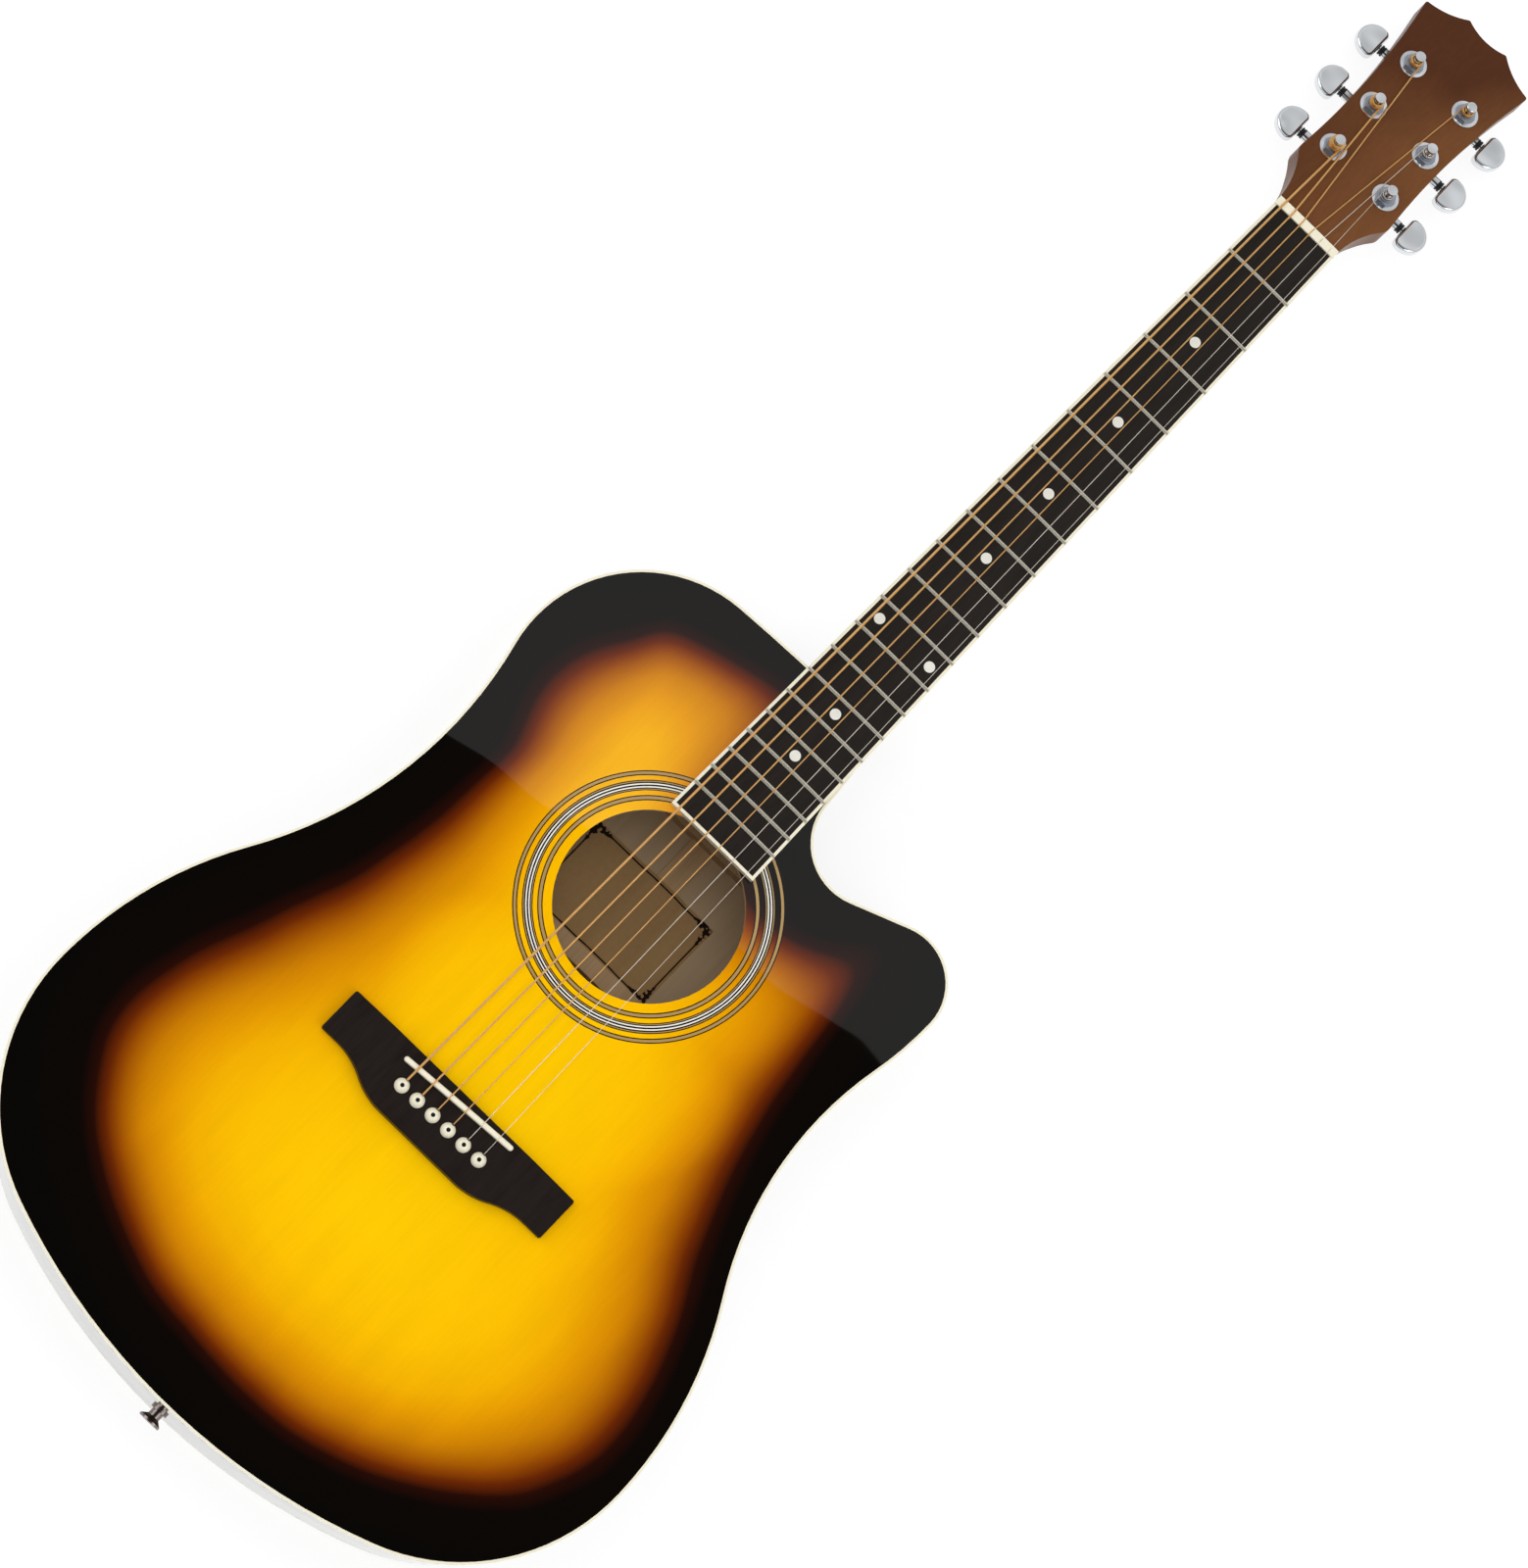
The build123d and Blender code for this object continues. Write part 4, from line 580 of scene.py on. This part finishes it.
def joined(pieces):
    """Several pieces as one object."""
    start_clear()
    for piece in pieces:
        piece.select_set(True)
    bpy.context.view_layer.objects.active = pieces[0]
    bpy.ops.object.join()
    return bpy.context.object


def finish_piece(piece, name, material):
    """Names the piece, gives it its material, and hangs it on the guitar."""
    piece.name = name
    piece.data.name = name
    piece.data.materials.clear()
    piece.data.materials.append(material)
    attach(piece, "guitar")


def box_middle(points):
    """The middle of the box round some points."""
    return Vector((min(v) + max(v)) / 2 for v in zip(*points))


# ---------------------------------------------------------------- operators

class GUITAR_OT_body_finish(Operator):
    """Lacquers the body and its bindings and inlays the rosette"""
    bl_idname = "guitar.body_finish"
    bl_label = "Body Finish"

    def execute(self, context):
        colours = context.scene.guitar_colours
        dress(lacquered_spruce(colours), "soundboard")
        dress(lacquered_sapele(colours), "back_plate", "side_bass", "side_treble")
        dress(rosette_inlay(), "rosette_rings")
        # scraped flush and wiped with lacquer: a smooth ivory line with a soft shine
        cream = moulded("abs_binding_scraped", colours.cream, 0.3,
                        Coat_Weight=0.6, Coat_Roughness=0.05)
        dress(cream, "top_binding", "back_binding", "fingerboard_binding")
        return {"FINISHED"}


class GUITAR_OT_inside_finish(Operator):
    """Gives the bare wood inside the body its grain"""
    bl_idname = "guitar.inside_finish"
    bl_label = "Inside Finish"

    def execute(self, context):
        colours = context.scene.guitar_colours
        # left as it was sawn: pale and matt, with its pores open
        bare = wood("spruce_sawn_bare", colours.inner_wood, across_mm=1.6, along_mm=60,
                    strength=0.1, roughness=0.75, pore_depth=0.03)
        dress(bare, "x_braces", "top_braces", "bridge_plate", "back_braces", "top_linings",
              "back_linings", "back_centre_strip", "neck_block", "tail_block")
        # rolled and not plated: a dull dark grey
        dress(metal("mild_steel_rod", linear("#6E6C68"), 0.4), "truss_rod")
        return {"FINISHED"}


class GUITAR_OT_neck_finish(Operator):
    """Stains the neck and headstock and dresses the fingerboard and its parts"""
    bl_idname = "guitar.neck_finish"
    bl_label = "Neck Finish"

    def execute(self, context):
        colours = context.scene.guitar_colours
        # stained under a thin satin coat: brown with a low sheen, and its pores nearly filled
        satin = wood("nato_stained_satin", colours.neck_wood, across_mm=1.8, along_mm=45,
                     strength=0.07, roughness=0.34, pore_depth=0.004,
                     glow=colours.neck_glow, Specular_IOR_Level=0.16)
        dress(satin, "neck", "headstock_veneer")
        # dyed and rubbed with oil: nearly black and almost dry, with short open pores
        board = wood("rosewood_dyed_oiled", colours.dark_wood, across_mm=0.8, along_mm=14,
                     strength=0.2, roughness=0.45, pore_depth=0.02, Specular_IOR_Level=0.2)
        dress(board, "fingerboard")
        # rubbed with oil only: a little browner and glossier than the board
        bridge = wood("rosewood_oiled", colours.bridge_wood, across_mm=0.9, along_mm=18,
                      strength=0.22, roughness=0.42, pore_depth=0.02, Specular_IOR_Level=0.13)
        dress(bridge, "bridge")
        # moulded and buffed: even ivory with a soft bright spot
        bone = moulded("urea_plastic_polished", colours.cream, 0.28)
        dress(bone, "nut", "saddle", "bridge_pins")
        # stamped from pearl sheet: milky, with a faint cloud
        dress(moulded("celluloid_pearl_dot", linear("#E9E7DE"), 0.2, mottle=0.05), "position_dots")
        # from a polished mould: glossy black
        dress(moulded("abs_black_gloss", colours.black, 0.25), "heel_cap")
        # drawn, filed and polished: a warm line of light along each fret
        dress(metal("nickel_silver_wire_polished", colours.nickel, 0.28), "frets")
        return {"FINISHED"}


class GUITAR_OT_string_finish(Operator):
    """Gives the two thin strings plain steel and the others wound bronze"""
    bl_idname = "guitar.string_finish"
    bl_label = "String Finish"

    def execute(self, context):
        colours = context.scene.guitar_colours
        # drawn through a die: a fine pale line that lights up evenly
        steel = metal("steel_wire_drawn", colours.steel, 0.5)
        dress(steel, *numbered("string", PLAIN))
        dress(wound_bronze(colours), *numbered("string", WOUND))
        return {"FINISHED"}


class GUITAR_OT_hardware_finish(Operator):
    """Plates the tuners and the strap button"""
    bl_idname = "guitar.hardware_finish"
    bl_label = "Hardware Finish"

    def execute(self, context):
        colours = context.scene.guitar_colours
        # cast, then plated: a mirror that bends softly where the casting sinks and swells
        chrome = metal("zinc_die_cast_chrome_plated", colours.chrome, 0.14, swell=0.9)
        dress(chrome, "tuner_housings", "tuner_washers", "tuner_screws",
              *numbered("tuner_knob"), *numbered("string_post"))
        # milled from bar, then plated: duller flats of a cool grey
        dress(metal("steel_hexagon_chrome_plated", linear("#A8AEB9"), 0.42), "tuner_bushings")
        # turned, then plated dark: a warm grey with soft rings of light
        dress(metal("steel_turned_black_nickel", linear("#8A7F7A"), 0.3), "strap_button")
        # milled and left bare: yellow with a bright edge on each tooth
        dress(metal("brass_milled", linear("#C49A4E"), 0.25), *numbered("worm_wheel"))
        # moulded in a soft plastic: black and nearly matt
        dress(moulded("nylon_washer_black", colours.black, 0.45), "shaft_washers")
        return {"FINISHED"}


LABEL_LEFT = -50.2      # mm from the middle line to the paper's edge on the bass side
LABEL_LIFT = 0.45       # mm from the foot of the braces up to the paper's face
LABEL_THICK = 0.15      # mm of paper
LABEL_FALL = 9.0        # mm over which the paper comes down from the centre strip to the back


class GUITAR_OT_label(Operator):
    """Glues a plain paper label to the back, under the sound hole"""
    bl_idname = "guitar.label"
    bl_label = "Paper Label"

    def execute(self, context):
        sizes, colours = context.scene.guitar_sizes, context.scene.guitar_colours
        low = Vector((LABEL_LEFT * MM, brace_below_hole() + 0.5 * MM, 0))
        high = low + Vector((sizes.label_width, sizes.label_length, 0))
        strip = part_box("back_centre_strip")[1]
        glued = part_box("back_braces")[0].z + LABEL_LIFT * MM
        start_clear()
        bpy.ops.mesh.primitive_grid_add(x_subdivisions=60, y_subdivisions=6, size=1)
        sheet = bpy.context.object
        sheet.scale = (sizes.label_width, sizes.label_length, 1)
        set_down(sheet, ((low.x + high.x) / 2, (low.y + high.y) / 2, glued))
        select_points(sheet, lambda point: abs(point.x) < strip.x + 0.5 * MM)
        bpy.ops.transform.translate(
            value=(0, 0, strip.z + 0.2 * MM - glued), use_proportional_edit=True,
            proportional_edit_falloff="SMOOTH", proportional_size=LABEL_FALL * MM,
        )
        start_clear()
        sheet.select_set(True)
        apply_modifier(sheet, "SOLIDIFY", thickness=LABEL_THICK * MM)
        bpy.ops.object.shade_smooth_by_angle(angle=math.radians(40))
        material = printed_paper(colours, low, high, sizes.label_border)
        finish_piece(sheet, "paper_label", material)
        return {"FINISHED"}


def brace_below_hole():
    """The upper edge of the back brace that lies within 45 mm below the sound hole's middle."""
    places = [point.co.y for point in frame["nodes"]["back_braces"].data.vertices]
    below = [y for y in places if HOLE.y - 45 * MM < y < HOLE.y]
    if not below:
        raise RuntimeError("no back brace lies below the sound hole's middle")
    return max(below)


DOT_DEEP = 0.6      # mm from a pin dot's face to its foot
DOT_SUNK = 0.2      # mm from the pin's crown down to the dot's middle


class GUITAR_OT_pin_dots(Operator):
    """Inlays a black dot in each bridge pin"""
    bl_idname = "guitar.pin_dots"
    bl_label = "Pin Dots"

    def execute(self, context):
        sizes, colours = context.scene.guitar_sizes, context.scene.guitar_colours
        low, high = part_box("bridge_pins")
        reach = (high.y - low.y) / 2
        places = [point.co for point in frame["nodes"]["bridge_pins"].data.vertices]
        dots = []
        for number in range(len(STRINGS)):
            x = low.x + reach + number * (high.x - low.x - 2 * reach) / (len(STRINGS) - 1)
            pin = [place for place in places if abs(place.x - x) < reach]
            top = max(place.dot(TOP_NORMAL) for place in pin)
            crown = box_middle([place for place in pin if place.dot(TOP_NORMAL) > top - 0.4 * MM])
            above = top - crown.dot(TOP_NORMAL)
            dots.append(pin_dot(sizes.pin_dot, crown + TOP_NORMAL * (above - DOT_SUNK * MM)))
        # pressed in and buffed with the pin: black with one small highlight
        black = moulded("abs_black_inlay", colours.black, 0.3)
        finish_piece(joined(dots), "bridge_pin_dots", black)
        return {"FINISHED"}


def pin_dot(width, place):
    """A flat dot with a rounded upper edge, square to the top."""
    start_clear()
    bpy.ops.mesh.primitive_cylinder_add(vertices=24, radius=width / 2, depth=DOT_DEEP * MM)
    dot = bpy.context.object
    select_points(dot, lambda point: point.z > 0)
    bpy.ops.mesh.bevel(offset=0.25 * MM, segments=3, affect="EDGES")
    set_down(dot, place, TOP_NORMAL)
    bpy.ops.object.shade_smooth_by_angle(angle=math.radians(50))
    return dot


class GUITAR_OT_windings(Operator):
    """Winds each string's turns round its post"""
    bl_idname = "guitar.windings"
    bl_label = "String Windings"

    def execute(self, context):
        colours = context.scene.guitar_colours
        plain, wound = ([wind_string(number) for number in group] for group in (PLAIN, WOUND))
        steel = frame["nodes"]["string_1"].material_slots[0].material
        finish_piece(joined(plain), "plain_windings", steel)
        # the same wire where it lies on the post: bronze turns that shine softly
        bronze = metal("bronze_wire_on_post", colours.bronze, 0.35)
        finish_piece(joined(wound), "bronze_windings", bronze)
        return {"FINISHED"}


RING_REACH = 5.0      # mm from a post's axis, within which a string is the ring round it
TURNS_PROUD = 0.14    # of a gauge that the turns stand out from that ring


def wind_string(number):
    """One string's turns: a thin flat band that climbs round the post by the string's gauge a turn,
    over the plain ring that the CAD string makes there."""
    axis = HEAD_NORMAL
    post = Vector(joint(f"post_{number}_spin")["pos_m"])
    ring = []
    for point in frame["nodes"][f"string_{number}"].data.vertices:
        away = point.co - post
        height = away.dot(axis)
        radius = (away - axis * height).length
        if radius < RING_REACH * MM:
            ring.append((radius, height))
    radii, heights = zip(*ring)
    gauge = max(radii) - min(radii)
    turns = max(round((max(heights) - min(heights)) / gauge), 1)
    start_clear()
    proud = (max(radii) + min(radii)) / 2 + gauge * TURNS_PROUD
    bpy.ops.mesh.primitive_circle_add(vertices=12, radius=gauge / 2, location=(proud, 0, 0))
    coil = bpy.context.object
    set_down(coil, coil.location)
    apply_modifier(coil, "SCREW", angle=math.tau, screw_offset=gauge, iterations=turns,
                   steps=28, render_steps=28)
    bpy.ops.object.mode_set(mode="EDIT")
    bpy.ops.mesh.select_all(action="SELECT")
    bpy.ops.mesh.remove_doubles(threshold=0.001 * MM)
    bpy.ops.mesh.fill_holes(sides=0)
    bpy.ops.mesh.normals_make_consistent(inside=False)
    bpy.ops.object.mode_set(mode="OBJECT")
    bpy.ops.object.shade_smooth_by_angle(angle=math.radians(60))
    set_down(coil, post + axis * min(heights), axis)
    return coil


class GUITAR_OT_screw_recesses(Operator):
    """Paints the shade of the cross recess in each tuner screw and in the strap button's screw"""
    bl_idname = "guitar.screw_recesses"
    bl_label = "Screw Recesses"

    def execute(self, context):
        recess = context.scene.guitar_sizes.recess
        crosses = [cross(recess, place, -HEAD_NORMAL) for place in screw_heads()]
        crosses.append(cross(recess * 1.5, Vector(STRAP["pos_m"]) + button_end(), TAIL_AXIS))
        # painted shade: a flush cross stands for the plating in the shade of the recess, dark and dull
        dark = metal("steel_recess_painted_shade", linear("#2A2A2C"), 0.5)
        finish_piece(joined(crosses), "screw_recesses", dark)
        return {"FINISHED"}


def screw_heads():
    """The middle of each tuner screw's head, on its outer face."""
    places = [point.co for point in frame["nodes"]["tuner_screws"].data.vertices]
    lowest = min(place.dot(HEAD_NORMAL) for place in places)
    heads = []
    for place in places:
        if place.dot(HEAD_NORMAL) < lowest + 0.05 * MM:
            near = next((head for head in heads if (head[0] - place).length < 6 * MM), None)
            if near is None:
                heads.append([place])
            else:
                near.append(place)
    return [box_middle(head) for head in heads]


def button_end():
    """The way from the strap button's mount to the face of its outer end."""
    places = [point.co for point in frame["nodes"]["strap_button"].data.vertices]
    mount = Vector(STRAP["pos_m"])
    return TAIL_AXIS * max((place - mount).dot(TAIL_AXIS) for place in places)


def cross(width, place, axis):
    """A cross whose arms taper towards its tips, let in flush with a screw's head as painted shade for its recess.
    """
    arm = width * 0.14
    start_clear()
    bpy.ops.mesh.primitive_cube_add(size=2 * arm)
    piece = bpy.context.object
    for way in ((1, 0), (-1, 0), (0, 1), (0, -1)):
        outward = Vector((*way, 0))
        bpy.ops.object.mode_set(mode="EDIT")
        bpy.ops.mesh.select_mode(type="FACE")
        bpy.ops.mesh.select_all(action="DESELECT")
        bpy.ops.object.mode_set(mode="OBJECT")
        face = max(piece.data.polygons, key=lambda side: (side.normal + side.center).dot(outward))
        face.select = True
        bpy.ops.object.mode_set(mode="EDIT")
        move = {"value": outward * (width / 2 - arm)}
        bpy.ops.mesh.extrude_region_move(TRANSFORM_OT_translate=move)
        bpy.ops.transform.resize(value=(0.6, 0.6, 1.0))
        bpy.ops.object.mode_set(mode="OBJECT")
    apply_modifier(piece, "BEVEL", width=0.05 * MM, segments=2)
    set_down(piece, place - axis * (arm - 0.03 * MM), axis)
    return piece


class GUITAR_OT_stage(Operator):
    """Lays the floor, hangs the lights and sets the camera"""
    bl_idname = "guitar.stage"
    bl_label = "Stage"

    def execute(self, context):
        stage = context.scene.guitar_stage
        set_view(context)
        light_world(context.scene, stage)
        lay_floor()
        hang_lights(stage)
        set_camera(context.scene, stage)
        return {"FINISHED"}


def set_view(context):
    """Colours straight through, with nothing graded."""
    context.scene.view_settings.view_transform = "Standard"


def backdrop_rays(tree):
    """1 for the camera, mirror and glass rays that see the plain backdrop; and the camera's own."""
    path = add(tree, "LightPath").outputs
    seen = calculated(tree, "MAXIMUM", path["Is Camera Ray"], path["Is Glossy Ray"])
    return calculated(tree, "MAXIMUM", seen, path["Is Transmission Ray"]), path["Is Camera Ray"]


# What a mirror sees of the room, from straight down (0) to straight up (1): pale floor and walls,
# then a dark ceiling.
WALL_LEVELS = (
    (0, 0.5), (0.18, 0.32), (0.35, 0.7), (0.6, 0.85), (0.75, 0.45), (0.88, 0.03), (0.93, 0.012),
)


def light_world(scene, stage):
    """White all round for the camera; for mirrors grey walls and a dark ceiling, as in a studio."""
    world = bpy.data.worlds.new("plain_studio")
    world.use_nodes = True
    scene.world = world
    tree = world.node_tree
    seen, by_camera = backdrop_rays(tree)
    height = add(tree, "SeparateXYZ", {0: add(tree, "TexCoord").outputs["Generated"]}).outputs[2]
    walls = add(tree, "ValToRGB", {"Fac": height})
    ramp_stops(walls, [(place, (level,) * 3) for place, level in WALL_LEVELS])
    mirrored = calculated(tree, "MAXIMUM", walls.outputs[0], by_camera)
    strength = add(tree, "Mix", {"Factor": seen, 2: stage.room, 3: mirrored})
    light = add(tree, "Background", {"Color": (1, 1, 1, 1), "Strength": strength.outputs[0]})
    tree.links.new(light.outputs[0], tree.nodes["World Output"].inputs[0])


def lay_floor():
    """A plain pale floor that still takes the guitar's shadow, faintly where the camera sees it."""
    low, _ = CAD_BOX
    start_clear()
    bpy.ops.mesh.primitive_plane_add(size=12, location=(0, 0, low.z - 0.2 * MM))
    floor = bpy.context.object
    floor.name = "floor"
    material, tree, shader = new_material("painted_floor_white")
    # matt emulsion: an even pale ground without a mirror
    set_shader(shader, Base_Color=(0.8, 0.8, 0.8, 1), Roughness=0.9, Specular_IOR_Level=0.0)
    # where the camera sees it, mostly its own white, with enough of the light to show a shadow
    shown = add(tree, "AddShader", {
        0: add(tree, "BsdfDiffuse", {"Color": (0.28, 0.28, 0.28, 1)}).outputs[0],
        1: add(tree, "Emission", {"Strength": 0.79}).outputs[0],
    })
    seen, _ = backdrop_rays(tree)
    lit = add(tree, "MixShader", {0: seen, 1: shader.outputs[0], 2: shown.outputs[0]})
    tree.links.new(lit.outputs[0], tree.nodes["Material Output"].inputs[0])
    floor.data.materials.append(material)


def hang_light(name, radiance, width, length, place, turn):
    """A rectangular soft light of even radiance."""
    data = bpy.data.lights.new(name, "AREA")
    data.shape = "RECTANGLE"
    data.size, data.size_y = width, length
    data.energy = radiance * math.pi * width * length
    lamp = bpy.data.objects.new(name, data)
    lamp.location = place
    lamp.rotation_euler = turn
    bpy.context.scene.collection.objects.link(lamp)
    return lamp


def hang_lights(stage):
    """A soft box whose near edge draws the line across the shoulders, a panel on each side out of
    the top's mirror view, and an overhead light that mirrors don't show."""
    near_edge = Vector((0.035, 0.303, 2.1))
    along = Vector((0.403, 0.049, 0)).normalized()
    away = Vector((-along.y, along.x, 0))
    turn = (0, 0, math.atan2(along.y, along.x))
    width, length = 3.0, 1.9
    hang_light("soft_box", stage.key, width, length, near_edge + away * length / 2, turn)
    for side, name in ((-1, "panel_left"), (1, "panel_right")):
        place = Vector((1.9 * side, -0.5, 1.7))
        turn = (Vector((0, -0.1, 0.1)) - place).to_track_quat("-Z", "Y").to_euler()
        hang_light(name, stage.fill, 1.6, 1.6, place, turn)
    overhead = hang_light("overhead", stage.top, 1.2, 1.2, (0, HOLE.y, 2.6), (0, 0, 0))
    overhead.visible_glossy = False


CAMERA_PLACE = (-0.03547, -0.53862, 2.78283)     # metres
CAMERA_TURN = (6.6811, -7.4383, 43.7182)         # degrees


def set_camera(scene, stage):
    """Sets the camera above the guitar, looking nearly straight down on the top."""
    data = bpy.data.cameras.new("camera")
    data.lens = stage.lens
    data.sensor_width = 36
    camera = bpy.data.objects.new("camera", data)
    camera.location = CAMERA_PLACE
    camera.rotation_euler = tuple(math.radians(angle) for angle in CAMERA_TURN)
    scene.collection.objects.link(camera)
    scene.camera = camera


class GUITAR_PT_panel(Panel):
    """Lists the guitar's settings and steps"""
    bl_idname = "GUITAR_PT_panel"
    bl_label = "Acoustic Guitar"
    bl_space_type = "VIEW_3D"
    bl_region_type = "UI"
    bl_category = "Guitar"

    def draw(self, context):
        for name, group in GROUPS.items():
            box = self.layout.box()
            for setting in group.__annotations__:
                box.prop(getattr(context.scene, name), setting)
        for operator in OPERATORS:
            self.layout.operator(operator.bl_idname)


OPERATORS = (
    GUITAR_OT_body_finish, GUITAR_OT_inside_finish, GUITAR_OT_neck_finish, GUITAR_OT_string_finish,
    GUITAR_OT_hardware_finish, GUITAR_OT_label, GUITAR_OT_pin_dots, GUITAR_OT_windings,
    GUITAR_OT_screw_recesses, GUITAR_OT_stage,
)
GROUPS = {
    "guitar_colours": GuitarColours, "guitar_sizes": GuitarSizes, "guitar_stage": GuitarStage,
}
CLASSES = (*GROUPS.values(), *OPERATORS, GUITAR_PT_panel)


def register():
    """Makes the settings, steps and panel known to Blender."""
    for each in CLASSES:
        bpy.utils.register_class(each)
    for name, group in GROUPS.items():
        setattr(bpy.types.Scene, name, PointerProperty(type=group))


def unregister():
    """Takes them away again."""
    for name in GROUPS:
        delattr(bpy.types.Scene, name)
    for each in reversed(CLASSES):
        bpy.utils.unregister_class(each)


def main():
    """Makes everything in order."""
    register()
    for operator in OPERATORS:
        getattr(bpy.ops.guitar, operator.bl_idname.split(".")[1])()


if __name__ == "__main__":
    main()
